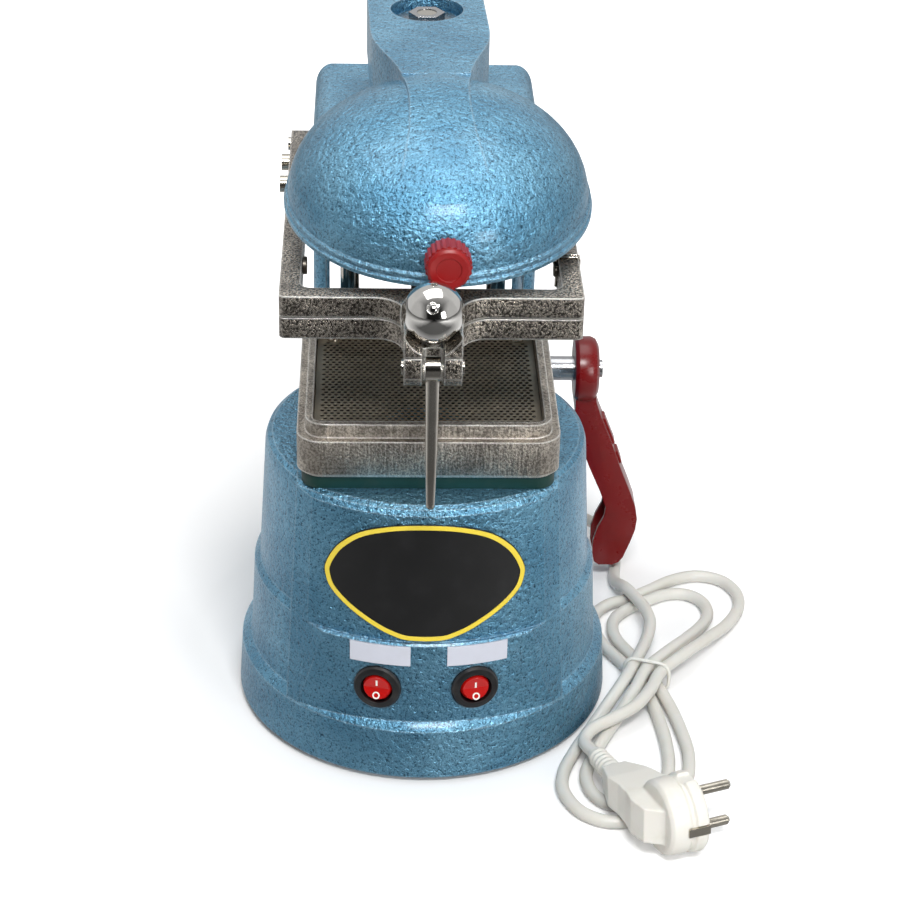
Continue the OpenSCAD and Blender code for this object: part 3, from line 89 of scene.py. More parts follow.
softboxes = {
    # name: (place in m, looks at, width, height, watts)
    "overheadSoftbox": ((-0.05, 0.25, 1.75), (0, 0, 0.2), 1.5, 1.2, 15),
    "frontTopSoftbox": ((0.13, -1.16, 1.47), (0, -0.05, 0.25), 0.66, 0.27, 24),
    "frontRightSoftbox": ((0.95, -1.45, 0.62), (0, 0, 0.18), 0.4, 0.6, 8),
}


def hangSoftboxes():
    for name, (place, target, width, height, watts) in softboxes.items():
        data = bpy.data.lights.new(name, "AREA")
        data.shape = "RECTANGLE"
        data.size, data.size_y, data.energy = width, height, watts
        obj = bpy.data.objects.new(name, data)
        obj.location = place
        obj.rotation_euler = (Vector(target) - Vector(place)).to_track_quat("-Z", "Y").to_euler()
        bpy.context.scene.collection.objects.link(obj)


room = {
    "white": 1.0, "fill": 0.15,
    "frontToBack": (-0.75, 0.25), "dark": 0.015, "back": 0.9,  # what gloss sees from dark front to pale back
    "sideFrom": (0.4, 0.8), "side": 0.75,
    "floor": 0.88, "floorHalf": 9, "floorGlow": (0.1, 0.95), "glowFrom": (0.13, 0.42),
    "floorDark": 0.1, "darkAhead": (0.1, -0.28), "darkAside": (0.8, 0.3),
}


def tone(hexText):
    parts = [int(hexText[i:i + 2], 16) / 255 for i in (1, 3, 5)]
    return tuple(p / 12.92 if p <= 0.04045 else ((p + 0.055) / 1.055) ** 2.4 for p in parts) + (1.0,)


def paintRoom():
    world = bpy.data.worlds.new("studio")
    bpy.context.scene.world = world
    world.use_nodes = True
    tree = world.node_tree
    tree.nodes.clear()
    out = tree.nodes.new("ShaderNodeOutputWorld")
    rays = tree.nodes.new("ShaderNodeLightPath")
    where = tree.nodes.new("ShaderNodeTexCoord")
    split = tree.nodes.new("ShaderNodeSeparateXYZ")
    tree.links.new(where.outputs["Generated"], split.inputs[0])
    shade = tree.nodes.new("ShaderNodeMapRange")  # dark in front of the object, white behind it
    shade.inputs["From Min"].default_value, shade.inputs["From Max"].default_value = room["frontToBack"]
    shade.inputs["To Min"].default_value, shade.inputs["To Max"].default_value = room["dark"], room["back"]
    tree.links.new(split.outputs["Y"], shade.inputs["Value"])
    aside = tree.nodes.new("ShaderNodeMath")
    aside.operation = "ABSOLUTE"
    tree.links.new(split.outputs["X"], aside.inputs[0])
    walls = tree.nodes.new("ShaderNodeMapRange")
    walls.inputs["From Min"].default_value, walls.inputs["From Max"].default_value = room["sideFrom"]
    walls.inputs["To Max"].default_value = room["side"]
    tree.links.new(aside.outputs[0], walls.inputs["Value"])
    wider = tree.nodes.new("ShaderNodeMath")
    wider.operation = "MAXIMUM"
    tree.links.new(shade.outputs["Result"], wider.inputs[0])
    tree.links.new(walls.outputs["Result"], wider.inputs[1])
    seen = tree.nodes.new("ShaderNodeMath")
    seen.operation = "MAXIMUM"
    tree.links.new(rays.outputs["Is Camera Ray"], seen.inputs[0])
    tree.links.new(rays.outputs["Is Transmission Ray"], seen.inputs[1])
    strength = tree.nodes.new("ShaderNodeMix")
    strength.inputs["A"].default_value = room["fill"]
    tree.links.new(rays.outputs["Is Glossy Ray"], strength.inputs["Factor"])
    tree.links.new(wider.outputs[0], strength.inputs["B"])
    final = tree.nodes.new("ShaderNodeMix")
    final.inputs["B"].default_value = room["white"]
    tree.links.new(seen.outputs[0], final.inputs["Factor"])
    tree.links.new(strength.outputs["Result"], final.inputs["A"])
    sky = tree.nodes.new("ShaderNodeBackground")
    tree.links.new(final.outputs["Result"], sky.inputs["Strength"])
    tree.links.new(sky.outputs[0], out.inputs["Surface"])


def layFloor():
    mesh = bpy.data.meshes.new("floor")
    r = room["floorHalf"]
    mesh.from_pydata([(-r, -r, 0), (r, -r, 0), (r, r, 0), (-r, r, 0)], [], [(0, 1, 2, 3)])
    floor = bpy.data.objects.new("floor", mesh)
    bpy.context.scene.collection.objects.link(floor)
    mat = bpy.data.materials.new("paleFloor")
    mat.use_nodes = True
    tree = mat.node_tree
    tree.nodes.clear()
    out = tree.nodes.new("ShaderNodeOutputMaterial")
    matte = tree.nodes.new("ShaderNodeBsdfDiffuse")
    matte.inputs["Color"].default_value = (room["floor"], room["floor"], room["floor"], 1)
    where = tree.nodes.new("ShaderNodeTexCoord").outputs["Object"]
    split = tree.nodes.new("ShaderNodeSeparateXYZ")
    tree.links.new(where, split.inputs[0])
    rays = tree.nodes.new("ShaderNodeLightPath")

    def ranged(value, low, high, out0=0.0, out1=1.0):
        node = tree.nodes.new("ShaderNodeMapRange")
        for key, number in zip(("From Min", "From Max", "To Min", "To Max"), (low, high, out0, out1)):
            node.inputs[key].default_value = number
        tree.links.new(value, node.inputs["Value"])
        return node.outputs["Result"]

    def product(*values):
        node = tree.nodes.new("ShaderNodeMath")
        node.operation = "MULTIPLY"
        for socket, value in zip(node.inputs, values):
            tree.links.new(value, socket)
        return node.outputs[0]

    away = tree.nodes.new("ShaderNodeVectorMath")
    away.operation = "LENGTH"
    tree.links.new(where, away.inputs[0])
    glow = tree.nodes.new("ShaderNodeEmission")
    far = ranged(away.outputs["Value"], *room["glowFrom"], *room["floorGlow"])
    tree.links.new(product(rays.outputs["Is Camera Ray"], far), glow.inputs["Strength"])
    both = tree.nodes.new("ShaderNodeAddShader")
    tree.links.new(matte.outputs[0], both.inputs[0])
    tree.links.new(glow.outputs[0], both.inputs[1])
    dim = tree.nodes.new("ShaderNodeBsdfDiffuse")  # what gloss sees of the floor in front of the object
    dim.inputs["Color"].default_value = (room["floorDark"], room["floorDark"], room["floorDark"], 1)
    aside = tree.nodes.new("ShaderNodeMath")
    aside.operation = "ABSOLUTE"
    tree.links.new(split.outputs["X"], aside.inputs[0])
    ahead = ranged(split.outputs["Y"], *room["darkAhead"])
    dark = product(ahead, ranged(aside.outputs[0], *room["darkAside"]))
    dark = product(dark, rays.outputs["Is Glossy Ray"])
    final = tree.nodes.new("ShaderNodeMixShader")
    tree.links.new(dark, final.inputs[0])
    tree.links.new(both.outputs[0], final.inputs[1])
    tree.links.new(dim.outputs[0], final.inputs[2])
    tree.links.new(final.outputs[0], out.inputs["Surface"])
    mesh.materials.append(mat)


aimCamera()
hangSoftboxes()
paintRoom()
layFloor()
bpy.context.scene.view_settings.view_transform = "Standard"
print("camera, lamps and room set")


finishes = {}
socketOf = {"metal": "Metallic", "rough": "Roughness", "coat": "Coat Weight", "coatRough": "Coat Roughness",
            "soft": "Subsurface Weight"}


class Finish:  # one node material, with short calls for the nodes used here
    def __init__(self, name, **shader):
        self.mat = bpy.data.materials.new(name)
        self.mat.use_nodes = True
        self.tree = self.mat.node_tree
        self.shader = self.tree.nodes["Principled BSDF"]
        for key, value in shader.items():
            self.shader.inputs[socketOf[key]].default_value = value
        self.where = self.add("TexCoord").outputs["Object"]
        finishes[name] = self.mat

    def add(self, kind, **values):
        node = self.tree.nodes.new("ShaderNode" + kind)
        for key, value in values.items():
            node.inputs[key.replace("_", " ")].default_value = value
        return node

    def join(self, a, b):
        self.tree.links.new(a, b)

    def noise(self, scale, detail=2, rough=0.5, distort=0, stretch=None):
        node = self.add("TexNoise", Scale=scale, Detail=detail, Roughness=rough, Distortion=distort)
        self.join(self.stretched(stretch) if stretch else self.where, node.inputs["Vector"])
        return node.outputs["Fac"]

    def stretched(self, stretch):
        scale, turn = stretch
        node = self.add("Mapping")
        node.inputs["Scale"].default_value = scale
        node.inputs["Rotation"].default_value = [math.radians(t) for t in turn]
        self.join(self.where, node.inputs["Vector"])
        return node.outputs[0]

    def ramp(self, value, *stops):
        node = self.tree.nodes.new("ShaderNodeValToRGB")
        bar = node.color_ramp
        while len(bar.elements) < len(stops):
            bar.elements.new(0.5)
        for element, (place, colour) in zip(bar.elements, stops):
            element.position = place
            element.color = tone(colour) if isinstance(colour, str) else (colour, colour, colour, 1)
        self.join(value, node.inputs["Fac"])
        return node.outputs["Color"]

    def mix(self, kind, factor, a, b):
        node = self.tree.nodes.new("ShaderNodeMix")
        node.data_type = "RGBA"
        node.blend_type = kind
        for value, socket in ((factor, node.inputs[0]), (a, node.inputs[6]), (b, node.inputs[7])):
            if isinstance(value, bpy.types.NodeSocket):
                self.join(value, socket)
            elif isinstance(value, str):
                socket.default_value = tone(value)
            else:
                socket.default_value = value
        return node.outputs[2]

    def sums(self, kind, a, b):
        node = self.tree.nodes.new("ShaderNodeMath")
        node.operation = kind
        for i, value in enumerate((a, b)):
            if isinstance(value, bpy.types.NodeSocket):
                self.join(value, node.inputs[i])
            else:
                node.inputs[i].default_value = value
        return node.outputs[0]

    def colour(self, value):
        if isinstance(value, str):
            self.shader.inputs["Base Color"].default_value = tone(value)
        else:
            self.join(value, self.shader.inputs["Base Color"])

    def gloss(self, value):
        self.join(value, self.shader.inputs["Roughness"])

    # Share of a painted highlight along a corner, where the bevelled normal turns away from the flat one
    def corner(self, radius, low, high):
        rim = self.add("Bevel", Radius=radius)
        flat = self.add("NewGeometry")
        node = self.tree.nodes.new("ShaderNodeVectorMath")
        node.operation = "DOT_PRODUCT"
        self.join(rim.outputs[0], node.inputs[0])
        self.join(flat.outputs["Normal"], node.inputs[1])
        return self.ramp(node.outputs["Value"], (low, 1.0), (high, 0.0))

    def relief(self, height, depth, strength=1.0, edge=0.0):
        node = self.add("Bump", Strength=strength, Distance=depth)
        self.join(height, node.inputs["Height"])
        if edge:
            rim = self.add("Bevel", Radius=edge)
            self.join(rim.outputs[0], node.inputs["Normal"])
        self.join(node.outputs[0], self.shader.inputs["Normal"])


# The enamel's edge colour and its share give a painted highlight along edges
enamel = {"body": "#5c93b2", "pale": "#84bad6", "speck": "#24485d", "edge": "#d3ebf7",
          "speckle": 1050, "dimple": 380, "cloud": 28, "edgeHighlightShare": 0.28, "depth": 0.0006}


def hammeredEnamel():
    f = Finish("blueEnamel", metal=0.88, rough=0.3, coat=0.3, coatRough=0.16)
    fine = f.noise(enamel["speckle"], 2, 0.6, 0.6)
    patch = f.noise(enamel["dimple"], 2, 0.5)
    cloud = f.noise(enamel["cloud"], 3, 0.5)
    base = f.mix("MIX", f.ramp(cloud, (0.35, 0.0), (0.7, 1.0)), enamel["body"], enamel["pale"])
    base = f.mix("MIX", f.ramp(patch, (0.3, 0.5), (0.75, 0.0)), base, enamel["body"])
    worms = f.ramp(fine, (0.39, 1.0), (0.47, 0.0))
    worms = f.mix("MULTIPLY", 1.0, worms, f.ramp(patch, (0.32, 1.0), (0.72, 0.35)))
    base = f.mix("MIX", worms, base, enamel["speck"])
    # painted highlight: a pale line laid along the enamel's edges, shoulder and ledges
    rim = f.corner(0.0012, 0.983, 0.999)
    base = f.mix("MIX", f.sums("MULTIPLY", rim, enamel["edgeHighlightShare"]), base, enamel["edge"])
    f.colour(base)
    f.gloss(f.ramp(fine, (0.3, 0.44), (0.7, 0.3)))
    f.relief(f.sums("ADD", fine, f.sums("MULTIPLY", patch, 2.4)), enamel["depth"], 0.9, 0.0007)


# The hollow under the sheet, where painted shade nearly black is laid, in mm
well = {"top": 168.2, "half": 54.5, "shade": (0.006, 0.006, 0.006, 1)}
# The nickel's edge colour is a painted highlight laid along corners
nickel = {"bright": "#dcd3c6", "dull": "#8d867e", "edge": "#fffdf8", "grain": 900,
          "edgeRough": (0.3, 0.3, 0.3, 1)}


# 1 for points of the chamber's hollow under the sheet, where painted shade, nearly black, is laid
def paintedShadeInWell(f):
    place = f.add("SeparateXYZ")
    f.join(f.where, place.inputs[0])
    share = f.sums("LESS_THAN", place.outputs["Z"], well["top"] * mm)
    for name, middle in (("X", axisX), ("Y", axisY)):
        off = f.sums("ABSOLUTE", f.sums("SUBTRACT", place.outputs[name], middle * mm), 0)
        share = f.sums("MULTIPLY", share, f.sums("LESS_THAN", off, well["half"] * mm))
    return share


def castNickel(name, grain, depth, rough, chamber=False):
    f = Finish(name, metal=1.0, rough=rough)
    pits = f.noise(nickel["grain"], 3, 0.65)
    haze = f.noise(55, 4, 0.6)
    base = f.mix("MIX", f.ramp(haze, (0.3, 0.0), (0.75, 1.0)), nickel["bright"], nickel["dull"])
    base = f.mix("MULTIPLY", 1.0, base, f.ramp(pits, (0.42, 1 - grain), (0.56, 1.0)))
    # painted highlight: a near-white line laid along the nickel's corners
    rim = f.corner(0.0013, 0.93, 0.996)
    base = f.mix("MIX", rim, base, nickel["edge"])
    if chamber:
        # painted shade: the chamber's hollow under the sheet is coloured nearly black
        base = f.mix("MIX", paintedShadeInWell(f), base, well["shade"])
    f.colour(base)
    flatGloss = f.ramp(haze, (0.2, rough - 0.05), (0.8, rough + 0.12))
    f.gloss(f.mix("MIX", rim, flatGloss, nickel["edgeRough"]))
    height = pits
    if chamber:
        strokes = f.noise(420, 2, 0.5, 0, ((1, 1, 0.12), (0, 52, 0)))
        height = f.sums("ADD", pits, f.sums("MULTIPLY", strokes, 1.6))
    f.relief(height, depth, 0.6, 0.0005)


def plainMetal(name, colour, rough, brush=None, metal=1.0):
    f = Finish(name, metal=metal, rough=rough)
    wear = f.noise(90, 4, 0.6)
    f.colour(f.mix("MULTIPLY", 0.35, colour, f.ramp(wear, (0.25, 0.55), (0.7, 1.0))))
    f.gloss(f.ramp(wear, (0.2, max(rough - 0.05, 0.02)), (0.8, rough + 0.08)))
    lines = f.noise(900, 2, 0.5, 0, (brush, (0, 0, 0))) if brush else f.noise(600, 2)
    f.relief(lines, 0.00006, 0.5, 0.0003)


def moulded(name, colour, rough, grain=700, depth=0.00006, coat=0.0, soft=0.0,
            dirt="#8a8378", dirtShare=0.12):
    f = Finish(name, rough=rough, coat=coat, coatRough=0.08, soft=soft)
    smudge = f.noise(70, 4, 0.65)
    f.colour(f.mix("MIX", f.ramp(smudge, (0.5, 0.0), (0.8, dirtShare)), colour, dirt))
    f.gloss(f.ramp(smudge, (0.2, max(rough - 0.04, 0.02)), (0.8, rough + 0.1)))
    f.relief(f.noise(grain, 2), depth, 0.5, 0.0004)


hammeredEnamel()
castNickel("nickelCast", 0.88, 0.0011, 0.2)
castNickel("nickelChamber", 0.5, 0.0012, 0.32, chamber=True)
plainMetal("chromePlate", "#dcdad6", 0.035)
plainMetal("zincSteel", "#a9abae", 0.32)
plainMetal("brightSteel", "#c4bfb6", 0.14, (1, 1, 0.05))
plainMetal("turnedSteel", "#b4b5b8", 0.24, (0.05, 1, 1))
plainMetal("darkSteel", "#6f6a62", 0.36)
plainMetal("sheetSteel", "#b5aa98", 0.34, metal=0.85)
plainMetal("nickelScrews", "#c9c3b6", 0.2)
plainMetal("bronze", "#a8834a", 0.3)
plainMetal("armatureCopper", "#b06a3c", 0.3)
plainMetal("castAluminium", "#a3a5a6", 0.42)
moulded("tealRubber", "#00322d", 0.5, 500)
moulded("blackRubber", "#1b1b1b", 0.62, 600)
moulded("switchBlack", "#151517", 0.3, 500, 0.00004, 0.2)
moulded("rockerRed", "#b3120f", 0.12, 300, 0.00002, 0.6, 0.05, "#7d0806")
moulded("redGloss", "#720204", 0.26, 260, 0.0001, 0.0, 0.0, "#480204", 0.35)
moulded("knobRed", "#8c0204", 0.36, 300, 0.00004, 0.0, 0.0, "#6d0305", 0.3)
moulded("whitePlastic", "#e3e0d8", 0.38, 420, 0.00005, 0.1, 0.04, "#b7ab8f", 0.22)
moulded("cordVinyl", "#d6d3cc", 0.34, 900, 0.00003, 0.15, 0.05, "#bdb193", 0.18)
moulded("badgeEnamel", "#141415", 0.42, 200, 0.00003, 0.0, 0.0, "#262628", 0.4)
moulded("badgeYellow", "#e4cb3b", 0.36, 200, 0.00003, 0.15)
moulded("labelWhite", "#c4c7d2", 0.4, 260, 0.00002, 0.1)
moulded("markWhite", "#efece6", 0.4, 260, 0.00002)
moulded("fireClay", "#cfc7b4", 0.85, 800, 0.0003)

nodeFinish = {
    "blueEnamel": ["base_casting", "column_housing", "heater_hood"],
    "zincSteel": ["base_plate", "base_screws", "column_bolts", "heat_shield", "motor_frame", "motor_cradle"],
    "brightSteel": ["guide_rods", "clamp_handle", "knob_stud", "pivot_post", "hinge_pins", "clamp_pin"],
    "turnedSteel": ["lift_shaft", "lever_screw", "post_nut", "post_collar"],
    "blackRubber": ["rubber_feet", "motor_seal"],
    "tealRubber": ["chamber_pad"],
    "badgeEnamel": ["badge_plate"],
    "labelWhite": ["label_strips"],
    "switchBlack": ["switch_housings"],
    "rockerRed": ["forming_rocker", "heating_rocker"],
    "whitePlastic": ["cord_gland", "terminal_block", "plug_body"],
    "cordVinyl": ["cord_lead", "cord_hank", "cord_tail", "cord_tie"],
    "castAluminium": ["fan_housing", "impeller", "carriage"],
    "armatureCopper": ["motor_armature"],
    "nickelChamber": ["vacuum_chamber"],
    "nickelCast": ["lower_frame", "upper_frame", "clamp_bolt"],
    "darkSteel": ["perforated_plate", "gear_rack", "pinion_gear"],
    "nickelScrews": ["plate_screws", "frame_screws", "plug_pins", "plug_clip"],
    "bronze": ["shaft_bushes", "carriage_bushes", "hood_bush"],
    "redGloss": ["lever_arm"],
    "knobRed": ["hood_knob"],
    "chromePlate": ["ball_nut"],
    "fireClay": ["heater_former"],
}
finishOf = {part: name for name, parts in nodeFinish.items() for part in parts}
finishOf["heating_coil"] = "armatureCopper"
for part, obj in nodes.items():
    obj.data.materials.clear()
    obj.data.materials.append(finishes[finishOf[part]])
print("finishes laid on", len(nodes), "parts")


def newPiece(name, mesh, finish, body):
    obj = bpy.data.objects.new(name, mesh)
    bpy.context.scene.collection.objects.link(obj)
    mesh.materials.clear()
    mesh.materials.append(finishes[finish])
    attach(obj, body)
    return obj


def fromShape(bm, name, sharp=38):
    bmesh.ops.recalc_face_normals(bm, faces=bm.faces)
    for face in bm.faces:
        face.smooth = True
    for edge in bm.edges:
        edge.smooth = not (len(edge.link_faces) != 2 or edge.calc_face_angle(0) > math.radians(sharp))
    mesh = bpy.data.meshes.new(name)
    bm.to_mesh(mesh)
    bm.free()
    return mesh


# Runs modifiers on a mesh and gives back the finished mesh
def worked(mesh, *steps):
    obj = bpy.data.objects.new("atWork", mesh)
    bpy.context.scene.collection.objects.link(obj)
    for kind, values in steps:
        step = obj.modifiers.new(kind, kind)
        for key, value in values.items():
            setattr(step, key, value)
    bpy.context.view_layer.update()
    done = bpy.data.meshes.new_from_object(obj.evaluated_get(bpy.context.evaluated_depsgraph_get()))
    bpy.data.objects.remove(obj)
    return done


def cadShape(part):
    bm = bmesh.new()
    bm.from_mesh(nodes[part].data)
    bmesh.ops.remove_doubles(bm, verts=bm.verts, dist=0.000002)
    bmesh.ops.dissolve_limit(bm, angle_limit=math.radians(0.5), verts=bm.verts, edges=bm.edges)
    return bm


# The chamber's outer upright corners, in mm
corners = {"part": "vacuum_chamber", "reach": 56.5, "round": 3.9, "segments": 4}


def roundCorners(bm):
    upright = []
    for edge in bm.edges:
        a, b = (v.co / mm - Vector((axisX, axisY, 0)) for v in edge.verts)
        outer = max(abs(a.x), abs(a.y)) > corners["reach"] and (a.xy - b.xy).length < 0.05
        if outer and len(edge.link_faces) == 2 and edge.calc_face_angle(0) > 0.5:
            upright.append(edge)
    bmesh.ops.bevel(bm, geom=upright, offset=corners["round"] * mm, offset_type="OFFSET",
                    segments=corners["segments"], profile=0.5, affect="EDGES", clamp_overlap=True)


def softEdges(part, width, name):
    rough = cadShape(part)
    if part == corners["part"]:
        roundCorners(rough)
    mesh = fromShape(rough, part + "Rough")
    done = worked(mesh, ("BEVEL", {"width": width * mm, "segments": 3, "limit_method": "ANGLE",
                                   "angle_limit": math.radians(32), "miter_outer": "MITER_ARC"}))
    bm = bmesh.new()
    bm.from_mesh(done)
    return fromShape(bm, name, 46)


def standIn(part, mesh, name, finish=None):
    obj = newPiece(name, mesh, finish or finishOf[part], nodes[part]["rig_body"])
    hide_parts(part)
    return obj


# A tube of even thickness along points, closed into a ring or capped at both ends
def tube(points, radius, sides=12, ring=False, name="tube"):
    bm = bmesh.new()
    count = len(points)
    rows, side = [], None
    for i, p in enumerate(points):
        ahead = points[(i + 1) % count if ring else min(i + 1, count - 1)]
        back = points[i - 1 if ring or i else 0]
        along = (ahead - back).normalized()
        if side is None:
            side = along.orthogonal().normalized()
        side = (side - along * side.dot(along)).normalized()
        other = along.cross(side)
        rows.append([bm.verts.new(p + radius * (math.cos(k * 2 * math.pi / sides) * side
                                                + math.sin(k * 2 * math.pi / sides) * other))
                     for k in range(sides)])
    for i in range(count if ring else count - 1):
        a, b = rows[i], rows[(i + 1) % count]
        shift = 0
        if ring and i == count - 1:  # the frame may come back turned
            shift = min(range(sides), key=lambda s: (a[0].co - b[s].co).length)
        for k in range(sides):
            bm.faces.new((a[k], a[(k + 1) % sides], b[(k + 1 + shift) % sides], b[(k + shift) % sides]))
    if not ring:
        bm.faces.new(reversed(rows[0]))
        bm.faces.new(rows[-1])
    return fromShape(bm, name, 60)


def roundedRing(width, height, corner, steps=6):
    points = []
    for k, (sx, sy) in enumerate(((1, 1), (-1, 1), (-1, -1), (1, -1))):
        for j in range(steps + 1):
            a = math.radians(90 * k + 90 * j / steps)
            points.append((sx * (width / 2 - corner) + corner * math.cos(a),
                           sy * (height / 2 - corner) + corner * math.sin(a)))
    return points


softened = {
    # part: (width of the rounding in mm, name, slot)
    "upper_frame": (0.6, "upperFrameCast", "nickel_cast"),
    "lower_frame": (0.6, "lowerFrameCast", "nickel_cast"),
    "vacuum_chamber": (0.7, "chamberCast", "nickel_cast"),
    "chamber_pad": (1.1, "padMoulding", "teal_rubber"),
    "lever_arm": (1.8, "leverCast", "red_gloss"),
}


def soften():
    for part, (width, name, slotName) in softened.items():
        standIn(part, softEdges(part, width, name), name)


crisp = {"angle": 24, "besidePanel": 3, "panelEdge": (50, 76), "frontOf": -30, "steep": 0.8}  # degrees and mm


# Copy of the base whose low corners beside the front panel stay crisp
def crispBase():
    bm = cadShape("base_casting")
    bmesh.ops.recalc_face_normals(bm, faces=bm.faces)
    for face in bm.faces:
        face.smooth = True
    for edge in bm.edges:
        angle = math.degrees(edge.calc_face_angle(0)) if len(edge.link_faces) == 2 else 90
        a, b = (v.co / mm - Vector((axisX, axisY, 0)) for v in edge.verts)
        steep = abs(a.z - b.z) > crisp["steep"] * (a - b).length
        near, far = crisp["panelEdge"]
        beside = near < abs(a.x) < far and near < abs(b.x) < far and a.y < crisp["frontOf"]
        edge.smooth = not (angle > crisp["angle"] or (steep and beside and angle > crisp["besidePanel"]))
    mesh = bpy.data.meshes.new("baseCast")
    bm.to_mesh(mesh)
    bm.free()
    standIn("base_casting", mesh, "baseCast")


soften()
crispBase()
print("edges softened on", len(softened), "castings")


sheet = {"side": 106.4, "corner": 3.4, "z": 168.6, "thick": 0.6, "hole": 2.3, "pitch": 3.0, "row": 2.6,
         "margin": 3.2, "screwAt": 45.5, "screwClear": 4.6, "screwHole": 2, "sides": 10}


def outlineSpline(curve, points):
    spline = curve.splines.new("POLY")
    spline.points.add(len(points) - 1)
    for point, (x, y) in zip(spline.points, points):
        point.co = (x * mm, y * mm, 0, 1)
    spline.use_cyclic_u = True


def circle(x, y, radius, sides):
    return [(x + radius * math.cos(2 * math.pi * k / sides),
             y + radius * math.sin(2 * math.pi * k / sides)) for k in range(sides)]


def perforatedSheet():
    curve = bpy.data.curves.new("sheetOutline", "CURVE")
    curve.dimensions = "2D"
    curve.fill_mode = "BOTH"
    curve.extrude = sheet["thick"] / 2 * mm
    outlineSpline(curve, roundedRing(sheet["side"], sheet["side"], sheet["corner"]))
    half, rows = sheet["side"] / 2 - sheet["margin"], int(sheet["side"] / 2 / sheet["row"])
    columns = int(sheet["side"] / 2 / sheet["pitch"]) + 1
    for j in range(-rows, rows + 1):
        for i in range(-columns, columns + 1):
            x, y = i * sheet["pitch"] + (j % 2) * sheet["pitch"] / 2, j * sheet["row"]
            fromScrew = math.hypot(abs(x) - sheet["screwAt"], abs(y) - sheet["screwAt"])
            if abs(x) > half or abs(y) > half or fromScrew < sheet["screwClear"]:
                continue
            outlineSpline(curve, circle(x, y, sheet["hole"] / 2, sheet["sides"]))
    for sx in (-1, 1):
        for sy in (-1, 1):
            outlineSpline(curve, circle(sx * sheet["screwAt"], sy * sheet["screwAt"], sheet["screwHole"], 20))
    obj = bpy.data.objects.new("sheetOutline", curve)
    bpy.context.scene.collection.objects.link(obj)
    mesh = bpy.data.meshes.new_from_object(obj.evaluated_get(bpy.context.evaluated_depsgraph_get()))
    bpy.data.objects.remove(obj)
    mesh.transform(Matrix.Translation(at(0, 0, sheet["z"] + sheet["thick"] / 2)))
    bm = bmesh.new()
    bm.from_mesh(mesh)
    bmesh.ops.remove_doubles(bm, verts=bm.verts, dist=0.000002)
    shape = fromShape(bm, "perforatedSheet")
    standIn("perforated_plate", shape, "perforatedSheet", "sheetSteel")


perforatedSheet()
print("perforated sheet cut")


shelf = {"axisY": 14, "ring": (31, 101.2), "ledge": (75.5, 100.3),
         "switchX": 23.1, "switchZ": 50.5, "pivot": -2.4, "rest": -7}


# Frame on the sloping shelf: x along it, y up it, z out of it
def onShelf(x, z):
    (z0, r0), (z1, r1) = shelf["ring"], shelf["ledge"]
    r = r0 + (r1 - r0) * (z - z0) / (z1 - z0)
    slope = math.atan((r0 - r1) / (z1 - z0))
    return (Matrix.Translation(at(0, shelf["axisY"], 0)) @ Matrix.Rotation(math.asin(x / r), 4, "Z")
            @ Matrix.Translation((0, -r * mm, z * mm)) @ Matrix.Rotation(math.pi / 2 - slope, 4, "X"))


marks = {
    # rocker: (side, middle of the line, middle of the ring), both up from the pivot in mm
    "forming": (-1, 2.6, -3.8), "heating": (1, 1.5, -4.1),
}


mark = {"ring": (1.8, 1.1), "lineHalf": (0.45, 1.5), "sunk": -0.15, "proud": 0.07,
        "faceLow": 3.9, "faceRise": 1.7, "faceHalf": 9}


def rockerFace(y):  # height of the rocker's hollow face over its pivot
    return mark["faceLow"] + mark["faceRise"] / mark["faceHalf"] * abs(y)


def rockerMarks(which):
    side, lineAt, ringAt = marks[which]
    place = (onShelf(side * shelf["switchX"], shelf["switchZ"])
             @ Matrix.Translation((0, 0, shelf["pivot"] * mm))
             @ Matrix.Rotation(math.radians(shelf["rest"]), 4, "X"))
    sunk, proud = mark["sunk"], mark["proud"]
    bm = bmesh.new()

    def strip(outer, inner, closed):
        rows = []
        for (x0, y0), (x1, y1) in zip(outer, inner):
            rows.append([bm.verts.new(place @ (Vector((x, y, rockerFace(y) + h)) * mm))
                         for x, y, h in ((x0, y0, sunk), (x0, y0, proud), (x1, y1, proud), (x1, y1, sunk))])
        for i in range(len(rows) if closed else len(rows) - 1):
            a, b = rows[i], rows[(i + 1) % len(rows)]
            for k in range(4):
                bm.faces.new((a[k], b[k], b[(k + 1) % 4], a[(k + 1) % 4]))
        if not closed:
            bm.faces.new(rows[0])
            bm.faces.new(reversed(rows[-1]))

    outer, inner = mark["ring"]
    strip(circle(0, ringAt, outer, 40), circle(0, ringAt, inner, 40), True)
    wide, tall = mark["lineHalf"]
    low, high = lineAt - tall, lineAt + tall
    strip([(wide, low), (wide, high)], [(-wide, low), (-wide, high)], False)
    name = which + "RockerMarks"
    newPiece(name, fromShape(bm, name), "markWhite", which + "_rocker_body")


for which in marks:
    rockerMarks(which)


badge = {"width": 93.9, "height": 60.6, "x": -1.2, "z": 76.2,
         "rim": 2.2, "edge": 0.2, "sunk": -0.2, "proud": 0.14,
         "axisY": 14, "ledge": (75.5, 99.1), "top": (144.5, 93.1)}
badgeHalf = [(0.166, 0.013), (0.326, 0.046), (0.473, 0.096), (0.671, 0.185), (0.814, 0.266), (0.916, 0.342),
             (0.971, 0.409), (1, 0.508), (0.986, 0.574), (0.935, 0.665), (0.858, 0.756), (0.728, 0.853),
             (0.599, 0.914), (0.452, 0.955), (0.285, 0.985), (0.1, 1)]


def between(a, b, c, d, t):  # point on the smooth line from b to c, with a before and d after them
    return 0.5 * (2 * b + t * (c - a) + t * t * (2 * a - 5 * b + 4 * c - d)
                  + t ** 3 * (3 * b - a - 3 * c + d))


def smoothRing(points, steps):
    ring, count = [], len(points)
    for i in range(count):
        a, b, c, d = (Vector(points[(i + k) % count]) for k in (-1, 0, 1, 2))
        ring += [between(a, b, c, d, j / steps) for j in range(steps)]
    return ring


